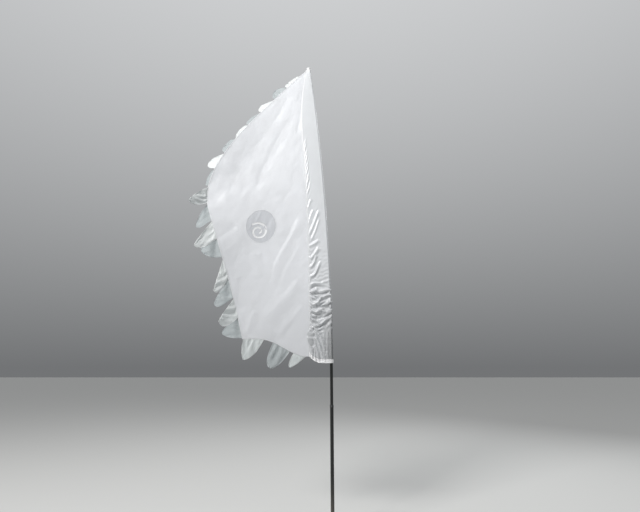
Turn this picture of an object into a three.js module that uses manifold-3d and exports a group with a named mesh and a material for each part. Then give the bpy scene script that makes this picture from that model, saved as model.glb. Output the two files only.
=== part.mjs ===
// A five metre festival flag: a white nylon half-leaf sail with a petal fringe on a telescopic pole.
// Millimetres, +Z up. The origin is the middle of the pole's foot; the flag flies towards -X.
import * as THREE from 'three';
import { mergeVertices } from 'three/addons/utils/BufferGeometryUtils.js';
import { LoftGeometry } from 'three/addons/geometries/LoftGeometry.js';
import Module from 'manifold-3d';

// Driving dimensions of the pole
const SECTION_COUNT = 5;
const SECTION_LENGTH = 1130;
const SECTION_OVERLAP = 150;
const BUTT_RADIUS = 17.5;
const RADIUS_STEP = 2.5;
const TUBE_WALL = 2;
const FOOT_FLOOR = 6;
const FOOT_HEIGHT = 45;
const FOOT_RADIUS = 21;
const RING_LENGTH = 24;
const RING_WALL = 1.7;
const PLUG_HEAD = 8;
const PLUG_STEM = 40;
const PLUG_SIDES = 16;
const BEND_START = 1300;
const BEND_RATE = 1.742e-5;
const TUBE_SIDES = 20;
const TUBE_STEPS = 6;

// Driving dimensions of the flag
const SEAT_GAP = 0.3;
const SLEEVE_FOOT = 1540;
const SEAM_FOOT = 1600;
const SEAM_TOP = 5020;
const SLEEVE_WIDTH = 245;
const SLEEVE_NARROWING = 0.0205;
const TAPER_LENGTH = 900;
const CLOTH_WALL = 1.6;
const POCKET_CLEARANCE = 1;
const SEAM_HALF = 2;
const THINNEST_SEAM = 0.6;
const POCKET_END = 10;
const TIP_SLACK = 16;
const NOSE_STEPS = 8;
const FLANK_STEPS = 4;
const FLANK_FULLNESS = 0.8;
const HEM_HEIGHT = 32;
const CAP_HEIGHT = 38;
const PANEL_THICKNESS = 3;
const PANEL_WIDTH = 1200;
const PANEL_COLUMNS = 8;
const FIRST_ROW = 0.12;
const BELLY = 75;
const BELLY_SPAN = 1330;
const FLUTTER = 48;
const FLUTTER_PITCH = 1500;
const FLUTTER_RAKE = 0.4;

// Petals round the lower and the trailing edge. Places count the cells of the edge line
const CELLS_PER_PETAL = 4;
const BOTTOM_BASES = [[0.2, 2.4], [3.15, 6.45], [8.2, 11.85]];
const BOTTOM_PETALS = BOTTOM_BASES.length;
const LEECH_PETALS = 16;
const PETAL_PITCH = 3.91;
const PETAL_INSET = 0.16;
const PETAL_ROWS = 6;
const PETAL_THICKNESS = 3;
const PETAL_LENGTH = 300;
const TOP_PETAL_LENGTH = 160;
const PETAL_TIP = 6;
const ROUND_SIDE = { power: 2.6, fullness: 0.6 };
const STRAIGHT_SIDE = { power: 1.15, fullness: 0.9 };

// How the wind holds each petal, in degrees, from the pole round the corner to the tip: its lean along
// the edge line, the swing of its root out of the cloth, and its curl from there to its tip
const PETAL_POSES = [
  [25, 40, 30], [-3, -19, -35], [29, 21, 25], [7, 28, 20], [-39, -30, -30], [-20, 19, 20],
  [-52, -5, -25], [21, 24, 20], [-31, -2, -20], [-16, 25, 25], [-45, -31, -20], [10, 54, 15],
  [-7, 41, 12], [2, 46, 20], [33, 42, 15], [4, 43, 15], [5, 37, 12], [14, 23, 20],
  [-5, 37, 15],
];

// How round each petal's two sides are, the first side first: 0 is straight and 1 is a full leaf
const PETAL_SIDES = [
  [0, 0.2], [0.5, 0.8], [1, 0], [0.4, 0.2], [1, 0.3], [0.9, 0.1],
  [0.9, 0.1], [1, 0.8], [0.9, 0.1], [0.8, 0.2], [0.6, 1], [0.6, 0.6],
  [1, 0.1], [0.4, 1], [0.8, 0.4], [0.8, 0.3], [0.9, 0.1], [0.7, 0.4],
  [0.8, 0.6],
];

// Roundel let into the middle of the panel
const EGG_CENTRE = new THREE.Vector2(-788, 3018);
const EGG_HALF = new THREE.Vector2(172, 196);
const EGG_SKEW = 0.1;
const EGG_LEAN = 0.9;
const EGG_SIDES = 32;
const EGG_COLUMNS = 6;
const EGG_INSET = 0.4;
const EGG_POLE_TRIM = 0.1;
const SHEER_THICKNESS = 2;
const BAND_THICKNESS = 1.6;
const BAND_START_WIDTH = 16;
const BAND_END_WIDTH = 28;
const BAND_TURNS = 1.6;
const BAND_START_RADIUS = 20;
const BAND_END_RADIUS = 104;
const BAND_START_ANGLE = -1.41;
const BAND_STEPS = 36;
const BAND_GAP = 0.6;
const BAND_CENTRE = new THREE.Vector2(-807, 2972);

const wasm = await Module();
wasm.setup();

// Materials
const fibreglass = new THREE.MeshStandardMaterial({ color: 0x0b0d0c, roughness: 0.45, metalness: 0 });
const blackRubber = new THREE.MeshStandardMaterial({ color: 0x141414, roughness: 0.8, metalness: 0 });
const ringPlastic = new THREE.MeshStandardMaterial({ color: 0x17191a, roughness: 0.4, metalness: 0 });
const whiteNylon = new THREE.MeshStandardMaterial({ color: 0xe6e9ed, roughness: 0.55, metalness: 0 });
const sheerCloth = new THREE.MeshStandardMaterial({ color: 0xb4b8ba, roughness: 0.6, metalness: 0 });

const flag = new THREE.Group();
const Y_AXIS = new THREE.Vector3(0, 1, 0);

function addPiece(name, geometry, material, parent = flag) {
  const mesh = new THREE.Mesh(geometry, material);
  mesh.name = name;
  parent.add(mesh);
  return mesh;
}

// Turns a closed geometry into a solid that can be cut, and back again
function toSolid(geometry) {
  const bare = new THREE.BufferGeometry();
  bare.setAttribute('position', geometry.attributes.position);
  bare.setIndex(geometry.index);
  const merged = mergeVertices(bare, 1e-4);
  return new wasm.Manifold(new wasm.Mesh({
    numProp: 3,
    vertProperties: new Float32Array(merged.attributes.position.array),
    triVerts: new Uint32Array(merged.index.array),
  }));
}

function fromSolid(solid) {
  const mesh = solid.getMesh();
  const geometry = new THREE.BufferGeometry();
  geometry.setAttribute('position', new THREE.BufferAttribute(mesh.vertProperties, 3));
  geometry.setIndex(new THREE.BufferAttribute(mesh.triVerts, 1));
  geometry.computeVertexNormals();
  return geometry;
}

function cut(body, tool) {
  return fromSolid(toSolid(body).subtract(toSolid(tool)));
}

// The pole stands straight up to BEND_START, then leans towards -X as a parabola
function poleX(z) {
  const above = Math.max(0, z - BEND_START);
  return -BEND_RATE * above * above;
}

class PoleCurve extends THREE.Curve {
  constructor(low, high) {
    super();
    this.low = low;
    this.high = high;
  }

  getPoint(t, target = new THREE.Vector3()) {
    const z = this.low + (this.high - this.low) * t;
    return target.set(poleX(z), 0, z);
  }
}

function tubeOnPole(outer, inner, low, high, steps) {
  const ring = new THREE.Shape().absarc(0, 0, outer, 0, 2 * Math.PI, false);
  ring.holes.push(new THREE.Path().absarc(0, 0, inner, 0, 2 * Math.PI, true));
  return new THREE.ExtrudeGeometry(ring, {
    extrudePath: new PoleCurve(low, high),
    steps,
    curveSegments: TUBE_SIDES / 2,
  });
}

function sectionFoot(i) {
  return FOOT_FLOOR + SEAT_GAP + i * (SECTION_LENGTH - SECTION_OVERLAP);
}

function sectionTop(i) {
  return sectionFoot(i) + SECTION_LENGTH;
}

function sectionRadius(i) {
  return BUTT_RADIUS - i * RADIUS_STEP;
}

const POLE_TOP = sectionTop(SECTION_COUNT - 1);
const TIP_RADIUS = sectionRadius(SECTION_COUNT - 1);
const TIP_LEAN = Math.atan(2 * BEND_RATE * (POLE_TOP - BEND_START));
const CROWN_RADIUS = 0.6 * TIP_RADIUS;
const PLUG_TOP = POLE_TOP + SEAT_GAP + PLUG_HEAD + CROWN_RADIUS * Math.sin(TIP_LEAN);

// Five nested tubes, each with a binding ring round its open upper end
function addPole() {
  for (let i = 0; i < SECTION_COUNT; i += 1) {
    const radius = sectionRadius(i);
    const top = sectionTop(i);
    const tube = tubeOnPole(radius, radius - TUBE_WALL, sectionFoot(i), top, TUBE_STEPS);
    addPiece(`pole_section_${i + 1}`, tube, fibreglass);
    if (i < SECTION_COUNT - 1) {
      const bore = radius + SEAT_GAP;
      const ring = tubeOnPole(bore + RING_WALL, bore, top - RING_LENGTH, top - SEAT_GAP, 1);
      addPiece(`joint_ring_${i + 1}`, ring, ringPlastic);
    }
  }
}

function lathe(profile, segments) {
  const points = profile.map(([r, y]) => new THREE.Vector2(r, y));
  return new THREE.LatheGeometry(points, segments).rotateX(Math.PI / 2);
}

// Rubber cup under the butt of the pole; its flat sole is the part's standing face
function addFoot() {
  const bore = BUTT_RADIUS + SEAT_GAP;
  const profile = [
    [0, 0], [FOOT_RADIUS, 0], [FOOT_RADIUS, FOOT_HEIGHT],
    [bore, FOOT_HEIGHT], [bore, FOOT_FLOOR], [0, FOOT_FLOOR],
  ];
  addPiece('foot_cap', lathe(profile, TUBE_SIDES), blackRubber);
}

// Round-headed plug in the top of the last tube; the sleeve's closed end rests on it
function addPlug() {
  const stem = TIP_RADIUS - TUBE_WALL - SEAT_GAP;
  const crown = SEAT_GAP + PLUG_HEAD;
  const profile = [
    [0, -PLUG_STEM], [stem, -PLUG_STEM], [stem, SEAT_GAP], [TIP_RADIUS, SEAT_GAP],
    [TIP_RADIUS, crown - PLUG_HEAD / 2], [CROWN_RADIUS, crown], [0, crown],
  ];
  const seat = new THREE.Group();
  seat.position.set(poleX(POLE_TOP), 0, POLE_TOP);
  seat.rotation.y = -TIP_LEAN;
  flag.add(seat);
  addPiece('tip_plug', lathe(profile, PLUG_SIDES), blackRubber, seat);
}

// Inner radius of the pole pocket: the binding rings' line plus a little clearance
function pocketRadius(z) {
  const firstRing = sectionRadius(1) + SEAT_GAP + RING_WALL;
  const slope = RADIUS_STEP / (SECTION_LENGTH - SECTION_OVERLAP);
  return firstRing + POCKET_CLEARANCE - (z - sectionTop(1)) * slope;
}

// Width of the sleeve from its leading fold to the seam, closing to a point at the top
function sleeveWidth(z) {
  const tip = 2 * pocketRadius(z) + TIP_SLACK;
  const full = SLEEVE_WIDTH - SLEEVE_NARROWING * (z - SLEEVE_FOOT);
  const u = THREE.MathUtils.clamp((PLUG_TOP - z) / TAPER_LENGTH, 0, 1);
  return tip + (full - tip) * (1 - (1 - u) ** 2);
}

function seamX(z) {
  return poleX(z) + pocketRadius(z) + CLOTH_WALL - sleeveWidth(z);
}

// One teardrop section of the sleeve: round at the pole, thin at the seam, grown or shrunk by an offset
function teardrop(z, offset, seamInset = 0, level = z) {
  const radius = pocketRadius(z) + CLOTH_WALL + offset;
  const centre = poleX(z);
  const seam = seamX(z) - offset + seamInset;
  const thin = Math.max(SEAM_HALF + offset, THINNEST_SEAM);
  const points = [];
  for (let i = 0; i <= NOSE_STEPS; i += 1) {
    const angle = Math.PI * (i / NOSE_STEPS - 0.5);
    points.push(new THREE.Vector3(centre + radius * Math.cos(angle), radius * Math.sin(angle), level));
  }
  const flank = [];
  for (let i = 1; i <= FLANK_STEPS; i += 1) {
    const s = i / FLANK_STEPS;
    const half = thin + (radius - thin) * (1 - s) ** FLANK_FULLNESS;
    flank.push(new THREE.Vector3(centre + (seam - centre) * s, half, level));
  }
  const mirrored = flank.map((p) => new THREE.Vector3(p.x, -p.y, level)).reverse();
  return [...points, ...flank, ...mirrored];
}

function loft(sections) {
  return new LoftGeometry(sections, { capStart: true, capEnd: true });
}

// Edge line of the panel, from the foot of the sleeve along the bottom to the corner, up to the widest
// point and on to the tip
function bezier(...corners) {
  return new THREE.CubicBezierCurve(...corners.map(([x, z]) => new THREE.Vector2(x, z)));
}

const bottomEdge = bezier([-252, 1600], [-573, 1673], [-540, 1817], [-930, 1785]);
const trailingEdge = new THREE.CurvePath();
trailingEdge.add(bezier([-930, 1785], [-1210, 2835], [-1362, 3141], [-1400, 3332]));
trailingEdge.add(bezier([-1400, 3332], [-1496, 3809], [-925, 4435], [-290, 5020]));
const edgeLine = [
  ...bottomEdge.getSpacedPoints(BOTTOM_PETALS * CELLS_PER_PETAL),
  ...trailingEdge.getSpacedPoints(LEECH_PETALS * CELLS_PER_PETAL).slice(1),
];
const ROWS = edgeLine.length - 1;

function seamLevel(row) {
  return SEAM_FOOT + (SEAM_TOP - SEAM_FOOT) * row / ROWS;
}

// Point of the edge line at a place between its points
function edgeAt(place) {
  const i = Math.min(Math.floor(place), ROWS - 1);
  return edgeLine[i].clone().lerp(edgeLine[i + 1], place - i);
}

// How far the wind carries the cloth out of the plane Y = 0: a belly and a flutter that grows outwards
function billow(x, z) {
  const fromSeam = Math.max(0, seamX(z) - x);
  const q = fromSeam / PANEL_WIDTH;
  const belly = BELLY * Math.sin(Math.PI * Math.min(1, fromSeam / BELLY_SPAN));
  const flutter = FLUTTER * q * q * Math.sin(2 * Math.PI * (z / FLUTTER_PITCH + FLUTTER_RAKE * q));
  return belly - flutter;
}

// Point of the cloth over a place in the plane Y = 0
function onCloth(p, lift = 0) {
  return new THREE.Vector3(p.x, billow(p.x, p.y) - lift, p.y);
}

// Closed sheet of even thickness over a grid of points, thick along Y or along given directions
function sheet(rows, thickness, directions) {
  const across = rows[0].length;
  const positions = [];
  for (const side of [-0.5, 0.5]) {
    rows.forEach((row, r) => {
      row.forEach((p, c) => {
        const direction = directions ? directions[r][c] : Y_AXIS;
        positions.push(...p.clone().addScaledVector(direction, side * thickness).toArray());
      });
    });
  }
  const count = rows.length * across;
  const index = [];
  const quad = (a, b, c, d) => index.push(a, b, c, a, c, d);
  for (let r = 0; r < rows.length - 1; r += 1) {
    for (let c = 0; c < across - 1; c += 1) {
      const a = r * across + c;
      quad(a, a + 1, a + across + 1, a + across);
      quad(count + a, count + a + across, count + a + across + 1, count + a + 1);
    }
  }
  const lastRow = (rows.length - 1) * across;
  const firstRim = Array.from({ length: across }, (_, c) => c);
  const sides = rows.slice(1, -1).map((_, r) => (r + 1) * across);
  const rim = [
    ...firstRim, ...sides.map((a) => a + across - 1),
    ...firstRim.map((c) => lastRow + across - 1 - c), ...sides.reverse(),
  ];
  rim.forEach((a, i) => {
    const b = rim[(i + 1) % rim.length];
    quad(a, a + count, b + count, b);
  });
  const geometry = new THREE.BufferGeometry();
  geometry.setAttribute('position', new THREE.Float32BufferAttribute(positions, 3));
  geometry.setIndex(index);
  geometry.computeVertexNormals();
  return geometry;
}

// Egg outline round the roundel, fuller towards its upper outer side
function eggPoint(angle, inset) {
  const swell = 1 + EGG_SKEW * Math.cos(angle - EGG_LEAN);
  return new THREE.Vector2(
    EGG_CENTRE.x + (EGG_HALF.x - inset) * swell * Math.cos(angle),
    EGG_CENTRE.y + (EGG_HALF.y - inset) * swell * Math.sin(angle),
  );
}

function eggOutline(inset) {
  return Array.from({ length: EGG_SIDES }, (_, i) => eggPoint(2 * Math.PI * i / EGG_SIDES, inset));
}

function eggPrism() {
  const depth = 4 * BELLY;
  const outline = new THREE.Shape(eggOutline(0));
  const prism = new THREE.ExtrudeGeometry(outline, { depth, bevelEnabled: false });
  return prism.rotateX(Math.PI / 2).translate(0, depth / 2, 0);
}

// Main panel: rows fan from the seam to the edge line, with the roundel's hole cut out
function addPanel() {
  const rows = [];
  for (let row = 0; row <= ROWS; row += 1) {
    const place = Math.max(row, FIRST_ROW);
    const z = seamLevel(place);
    const seam = new THREE.Vector2(seamX(z) - SEAT_GAP, z);
    const edge = edgeAt(place);
    const line = [];
    for (let c = 0; c <= PANEL_COLUMNS; c += 1) {
      line.push(onCloth(seam.clone().lerp(edge, 1 - c / PANEL_COLUMNS)));
    }
    rows.push(line);
  }
  addPiece('flag_panel', cut(sheet(rows, PANEL_THICKNESS), eggPrism()), whiteNylon);
}

// Pole sleeve, a doubled pocket that is open at its foot and closed over the tip plug
function addSleeve() {
  const levels = [SLEEVE_FOOT];
  for (let row = 0; row <= ROWS; row += 2) {
    levels.push(seamLevel(row));
  }
  const ceiling = PLUG_TOP + SEAT_GAP;
  const outer = levels.map((z) => teardrop(z, 0));
  outer.push(teardrop(PLUG_TOP, 0, 0, ceiling + CLOTH_WALL));
  const hollow = levels.slice(1).map((z) => teardrop(z, -CLOTH_WALL, POCKET_END));
  hollow.unshift(teardrop(SLEEVE_FOOT, -CLOTH_WALL, POCKET_END, SLEEVE_FOOT - 1));
  hollow.push(teardrop(PLUG_TOP, -CLOTH_WALL, POCKET_END, ceiling));
  addPiece('pole_sleeve', cut(loft(outer), loft(hollow)), whiteNylon);
}

// Doubled band round the mouth of the sleeve
function addSleeveHem() {
  const top = SLEEVE_FOOT + HEM_HEIGHT;
  const band = loft([
    teardrop(SLEEVE_FOOT, SEAT_GAP + CLOTH_WALL),
    teardrop(top, SEAT_GAP + CLOTH_WALL),
  ]);
  const core = loft([
    teardrop(SLEEVE_FOOT, SEAT_GAP, 0, SLEEVE_FOOT - 1),
    teardrop(top, SEAT_GAP, 0, top + 1),
  ]);
  addPiece('sleeve_hem', cut(band, core), whiteNylon);
}

// Reinforcing cap sewn over the sleeve's closed upper end
function addSleeveCap() {
  const foot = PLUG_TOP - CAP_HEIGHT;
  const ceiling = PLUG_TOP + 2 * SEAT_GAP + CLOTH_WALL;
  const shell = loft([
    teardrop(foot, SEAT_GAP + CLOTH_WALL),
    teardrop(PLUG_TOP, SEAT_GAP + CLOTH_WALL, 0, ceiling + CLOTH_WALL),
  ]);
  const core = loft([
    teardrop(foot, SEAT_GAP, 0, foot - 1),
    teardrop(PLUG_TOP, SEAT_GAP, 0, ceiling),
  ]);
  addPiece('sleeve_cap', cut(shell, core), whiteNylon);
}

// Places along the edge line that a petal's root is sewn to: its ends and the cell corners between them
function petalPlaces(i) {
  const start = BOTTOM_PETALS * CELLS_PER_PETAL + (i - BOTTOM_PETALS) * PETAL_PITCH;
  const [low, high] = BOTTOM_BASES[i] ?? [start + PETAL_INSET, start + PETAL_PITCH - PETAL_INSET];
  const places = [low];
  for (let place = Math.floor(low) + 1; place < high; place += 1) {
    places.push(place);
  }
  return [...places, high];
}

// One leaf-shaped petal, each side between straight and round, bent out of the cloth along an arc
function petalRows(i) {
  const places = petalPlaces(i);
  const low = places[0];
  const high = places[places.length - 1];
  const middle = edgeAt((low + high) / 2);
  const along = edgeAt(high).sub(edgeAt(low));
  const halfWidth = along.length() / 2;
  along.normalize();
  const outward = new THREE.Vector2(-along.y, along.x);
  const height = Math.max(0, i - BOTTOM_PETALS) / (LEECH_PETALS - 1);
  const length = THREE.MathUtils.lerp(PETAL_LENGTH, TOP_PETAL_LENGTH, height ** 2);
  const [lean, swing, curl] = PETAL_POSES[i].map(THREE.MathUtils.degToRad);
  const [firstSide, secondSide] = PETAL_SIDES[i];
  const rows = [];
  for (let r = 0; r <= PETAL_ROWS; r += 1) {
    const h = r / PETAL_ROWS;
    const round = (1 - h ** ROUND_SIDE.power) ** ROUND_SIDE.fullness;
    const straight = (1 - h ** STRAIGHT_SIDE.power) ** STRAIGHT_SIDE.fullness;
    const reach = length * (Math.sin(swing + curl * h) - Math.sin(swing)) / curl;
    const back = length * (Math.cos(swing) - Math.cos(swing + curl * h)) / curl;
    rows.push(places.map((place) => {
      const offset = edgeAt(place).sub(middle);
      const side = offset.dot(along) / halfWidth;
      const width = THREE.MathUtils.lerp(straight, round, side < 0 ? firstSide : secondSide);
      const a = side * (halfWidth * width + PETAL_TIP * h) + reach * Math.sin(lean);
      const b = SEAT_GAP + reach * Math.cos(lean) + offset.dot(outward) * (1 - h) ** 2;
      return onCloth(middle.clone().addScaledVector(along, a).addScaledVector(outward, b), -back);
    }));
  }
  return rows;
}

// Directions square to a petal, from the lines to each point's neighbours; its root faces the panel's edge
function squareTo(rows) {
  const last = rows.length - 1;
  return rows.map((row, r) => row.map((_, c) => {
    if (r === 0) return Y_AXIS;
    const up = rows[Math.min(r + 1, last)][c].clone().sub(rows[r - 1][c]);
    const across = row[Math.min(c + 1, row.length - 1)].clone().sub(row[Math.max(c - 1, 0)]);
    return up.cross(across).normalize();
  }));
}

function addPetals() {
  for (let i = 0; i < BOTTOM_PETALS + LEECH_PETALS; i += 1) {
    const cloth = i % 2 === 0 ? whiteNylon : sheerCloth;
    const name = `petal_${String(i + 1).padStart(2, '0')}`;
    const rows = petalRows(i);
    addPiece(name, sheet(rows, PETAL_THICKNESS, squareTo(rows)), cloth);
  }
}

// Sheer inset of the roundel, seated inside the panel's hole
function addRoundelSheer() {
  const outline = eggOutline(EGG_INSET);
  const half = EGG_SIDES / 2;
  const top = EGG_SIDES / 4;
  const corner = (i) => outline[(i + EGG_SIDES) % EGG_SIDES];
  const rows = [];
  for (let i = 0; i <= half; i += 1) {
    const left = corner(top + i).clone();
    const right = corner(top - i).clone();
    if (i === 0 || i === half) {
      const inwards = i === 0 ? 1 : -1;
      left.lerp(corner(top + i + inwards), EGG_POLE_TRIM);
      right.lerp(corner(top - i - inwards), EGG_POLE_TRIM);
    }
    const row = [];
    for (let c = 0; c <= EGG_COLUMNS; c += 1) {
      row.push(onCloth(right.clone().lerp(left, c / EGG_COLUMNS)));
    }
    rows.push(row);
  }
  addPiece('roundel_sheer', sheet(rows, SHEER_THICKNESS), sheerCloth);
}

// Plain white spiral tape sewn on the face of the sheer inset
function addRoundelSpiral() {
  const lift = SHEER_THICKNESS / 2 + BAND_THICKNESS / 2 + BAND_GAP;
  const rows = [];
  for (let i = 0; i <= BAND_STEPS; i += 1) {
    const t = i / BAND_STEPS;
    const angle = 2 * Math.PI * BAND_TURNS * t + BAND_START_ANGLE;
    const radius = THREE.MathUtils.lerp(BAND_START_RADIUS, BAND_END_RADIUS, t);
    const width = THREE.MathUtils.lerp(BAND_START_WIDTH, BAND_END_WIDTH, t);
    rows.push([-0.5, 0.5].map((side) => {
      const ray = new THREE.Vector2(Math.cos(angle), Math.sin(angle));
      return onCloth(BAND_CENTRE.clone().addScaledVector(ray, radius + side * width), lift);
    }));
  }
  addPiece('roundel_spiral', sheet(rows, BAND_THICKNESS), whiteNylon);
}

addPole();
addFoot();
addPlug();
addPanel();
addSleeve();
addSleeveHem();
addSleeveCap();
addPetals();
addRoundelSheer();
addRoundelSpiral();

export default flag;
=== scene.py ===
"""A five metre festival flag: white nylon sail, petal fringe and sheer roundel on a telescopic pole."""

import math

import bmesh
import bpy
import numpy as np
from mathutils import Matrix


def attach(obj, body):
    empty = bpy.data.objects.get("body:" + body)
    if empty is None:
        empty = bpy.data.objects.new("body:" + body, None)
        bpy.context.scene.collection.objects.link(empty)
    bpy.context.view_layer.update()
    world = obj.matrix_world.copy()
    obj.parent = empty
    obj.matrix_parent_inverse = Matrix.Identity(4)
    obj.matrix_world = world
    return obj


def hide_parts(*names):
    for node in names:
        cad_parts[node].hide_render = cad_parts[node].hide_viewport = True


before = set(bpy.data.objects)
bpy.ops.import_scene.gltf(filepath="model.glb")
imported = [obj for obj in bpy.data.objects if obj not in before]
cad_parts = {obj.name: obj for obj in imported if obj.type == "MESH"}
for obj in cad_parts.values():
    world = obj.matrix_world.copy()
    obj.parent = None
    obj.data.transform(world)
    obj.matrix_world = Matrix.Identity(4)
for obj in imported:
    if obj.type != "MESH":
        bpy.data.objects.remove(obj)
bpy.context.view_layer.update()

# Foot cup: the moulded rubber cup that the pole stands in. Its wall has a row of
# grip ribs and its rims are rounded; it is pushed on over the butt of the pole.
FOOT_RADIUS = 0.021
FOOT_HEIGHT = 0.045
FOOT_FLOOR = 0.006
FOOT_BORE = 0.0178
FOOT_ROUNDING = 0.0022
FOOT_RIBS = 30
RIB_DEPTH = 0.0007
WALL_ROWS = 14
SEAT_GAP = 0.0003
MAP_PER_RADIAN = 0.02
BEND_START = 1.3
BEND_RATE = 0.01742
RUBBER = (0.018, 0.018, 0.019, 1)
DUST = (0.30, 0.27, 0.22, 1)


def pole_x(z):
    """The pole's middle line: straight up to BEND_START, then x = -BEND_RATE * (height above it) squared."""
    return -BEND_RATE * np.maximum(0, z - BEND_START) ** 2


def ray_at(angle):
    """The flat direction at an angle."""
    return np.stack([np.cos(angle), np.sin(angle)], axis=-1)


def unit(vectors):
    """The vectors at a length of 1."""
    return vectors / np.linalg.norm(vectors, axis=-1, keepdims=True)


def drawn_together(rows):
    """The rows with one more at each end, all of whose points lie at the middle of its neighbour."""
    first, last = (np.broadcast_to(rows[k].mean(0), rows[k].shape)[None] for k in (0, -1))
    return np.concatenate([first, rows, last])


def grid_quads(rows, columns, closed_rows=False, closed_columns=False):
    """Quads between neighbours of a grid; a closed direction also joins its last line to its first."""
    i = np.arange(rows if closed_rows else rows - 1)[:, None]
    j = np.arange(columns if closed_columns else columns - 1)[None, :]
    i_next, j_next = (i + 1) % rows, (j + 1) % columns
    corners = [i * columns + j, i_next * columns + j, i_next * columns + j_next, i * columns + j_next]
    return np.stack([np.broadcast_to(c, (len(i), j.shape[1])).ravel() for c in corners], axis=1)


def signed_volume(points, quads):
    """Sum over the triangles of a . (b x c) / 6, which is negative where a closed mesh is inside out."""
    a, b, c, d = (points[quads[:, k]] for k in range(4))
    return float((a * (np.cross(b, c) + np.cross(c, d))).sum()) / 6


def new_object(name, data):
    """Places a mesh, a lamp or a camera in the scene, at the origin."""
    placed = bpy.data.objects.new(name, data)
    bpy.context.collection.objects.link(placed)
    return placed


def make_piece(name, points, quads, uv=None, weld=False, crease=40):
    """Puts points and quads into a mesh at the origin, faces outwards, with its cut-out pattern as UV map."""
    if signed_volume(points, quads) < 0:
        quads = quads[:, ::-1]
    mesh = bpy.data.meshes.new(name)
    mesh.from_pydata(points, [], quads)
    if uv is not None:
        corner_points = np.empty(len(mesh.loops), np.int32)
        mesh.loops.foreach_get("vertex_index", corner_points)
        layer = mesh.uv_layers.new(name="cut")
        layer.data.foreach_set("uv", uv[corner_points].astype(np.float32).ravel())
    if weld:
        work = bmesh.new()
        work.from_mesh(mesh)
        bmesh.ops.remove_doubles(work, verts=work.verts, dist=1e-6)
        work.to_mesh(mesh)
        work.free()
    mesh.polygons.foreach_set("use_smooth", np.ones(len(mesh.polygons), bool))
    mesh.set_sharp_from_angle(angle=math.radians(crease))
    return new_object(name, mesh)


def turned(name, radius, height, sides, closed=True, ribs=None):
    """A profile of radius over height carried round the bent pole.

    Point = (pole_x(h), 0, h) + r * (cos a * u + sin a * Y), where u is square to the pole in the XZ plane.
    ribs gives the depth of the FOOT_RIBS grooves round the piece at each height.
    """
    lean = np.arctan(-2 * BEND_RATE * np.maximum(0, height - BEND_START))[:, None]
    angle = -2 * np.pi * np.arange(sides)[None, :] / sides
    r = np.broadcast_to(radius[:, None], (len(radius), sides)).copy()
    if ribs is not None:
        r -= ribs[:, None] * (0.5 + 0.5 * np.cos(FOOT_RIBS * angle))
    x = pole_x(height)[:, None] + r * np.cos(angle) * np.cos(lean)
    z = height[:, None] - r * np.cos(angle) * np.sin(lean)
    points = np.stack([x, r * np.sin(angle), z], axis=-1).reshape(-1, 3)
    around = np.broadcast_to(-angle * MAP_PER_RADIAN, r.shape)
    along = np.broadcast_to(height[:, None], r.shape)
    uv = np.stack([around, along], axis=-1).reshape(-1, 2)
    quads = grid_quads(len(radius), sides, closed_rows=closed, closed_columns=True)
    return make_piece(name, points, quads, uv, weld=not closed, crease=35)


def new_material(name):
    """An empty node material, its node tree and its output node."""
    material = bpy.data.materials.new(name)
    material.use_nodes = True
    tree = material.node_tree
    tree.nodes.clear()
    return material, tree, tree.nodes.new("ShaderNodeOutputMaterial")


def add_node(tree, kind, **values):
    """Adds a node and sets its properties, or its inputs where a key names one with underscores."""
    node = tree.nodes.new("ShaderNode" + kind)
    sockets = {s.name.replace(" ", "_"): s for s in node.inputs}
    for key, value in values.items():
        if key in sockets:
            sockets[key].default_value = value
        else:
            setattr(node, key, value)
    return node


def feed(tree, value, slot):
    """Links a socket to an input, or gives the input a constant."""
    if isinstance(value, bpy.types.NodeSocket):
        tree.links.new(value, slot)
    else:
        slot.default_value = value


def math_node(tree, operation, *values, clamp=False):
    """A Math node on one to three values, each of them a socket or a number."""
    node = add_node(tree, "Math", operation=operation, use_clamp=clamp)
    for slot, value in enumerate(values):
        feed(tree, value, node.inputs[slot])
    return node.outputs[0]


def product(tree, first, second, clamp=False):
    """First times second."""
    return math_node(tree, "MULTIPLY", first, second, clamp=clamp)


def difference(tree, first, second, clamp=False):
    """First less second."""
    return math_node(tree, "SUBTRACT", first, second, clamp=clamp)


def total(tree, first, second, clamp=False):
    """First plus second."""
    return math_node(tree, "ADD", first, second, clamp=clamp)


def mix_colours(tree, share, first, second, **values):
    """A colour mix, whose share and colours are sockets or constants."""
    node = add_node(tree, "Mix", data_type="RGBA", **values)
    for label, value in (("Factor", share), ("A", first), ("B", second)):
        feed(tree, value, node.inputs[label])
    return node.outputs["Result"]


def mix_shaders(tree, share, first, second):
    """A mix of two shaders, whose share is a socket or a number."""
    node = add_node(tree, "MixShader")
    for slot, value in enumerate((share, first, second)):
        feed(tree, value, node.inputs[slot])
    return node.outputs[0]


def noise_node(tree, vector, **values):
    """A noise texture along a vector."""
    node = add_node(tree, "TexNoise", **values)
    tree.links.new(vector, node.inputs["Vector"])
    return node.outputs[0]


def axes_of(tree, vector):
    """The X, Y and Z of a vector, by name."""
    node = add_node(tree, "SeparateXYZ")
    tree.links.new(vector, node.inputs[0])
    return node.outputs


def new_group(name, inputs, outputs):
    """A shader node group with named float, vector or colour sockets."""
    group = bpy.data.node_groups.new(name, "ShaderNodeTree")
    for kind, sockets in (("INPUT", inputs), ("OUTPUT", outputs)):
        for label, socket_type in sockets:
            group.interface.new_socket(label, in_out=kind, socket_type="NodeSocket" + socket_type)
    return group, group.nodes.new("NodeGroupInput"), group.nodes.new("NodeGroupOutput")


def use_group(tree, group, **values):
    """Places a node group in a material, with numbers or links for its inputs."""
    node = tree.nodes.new("ShaderNodeGroup")
    node.node_tree = group
    for key, value in values.items():
        feed(tree, value, node.inputs[key.replace("_", " ")])
    return node


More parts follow.
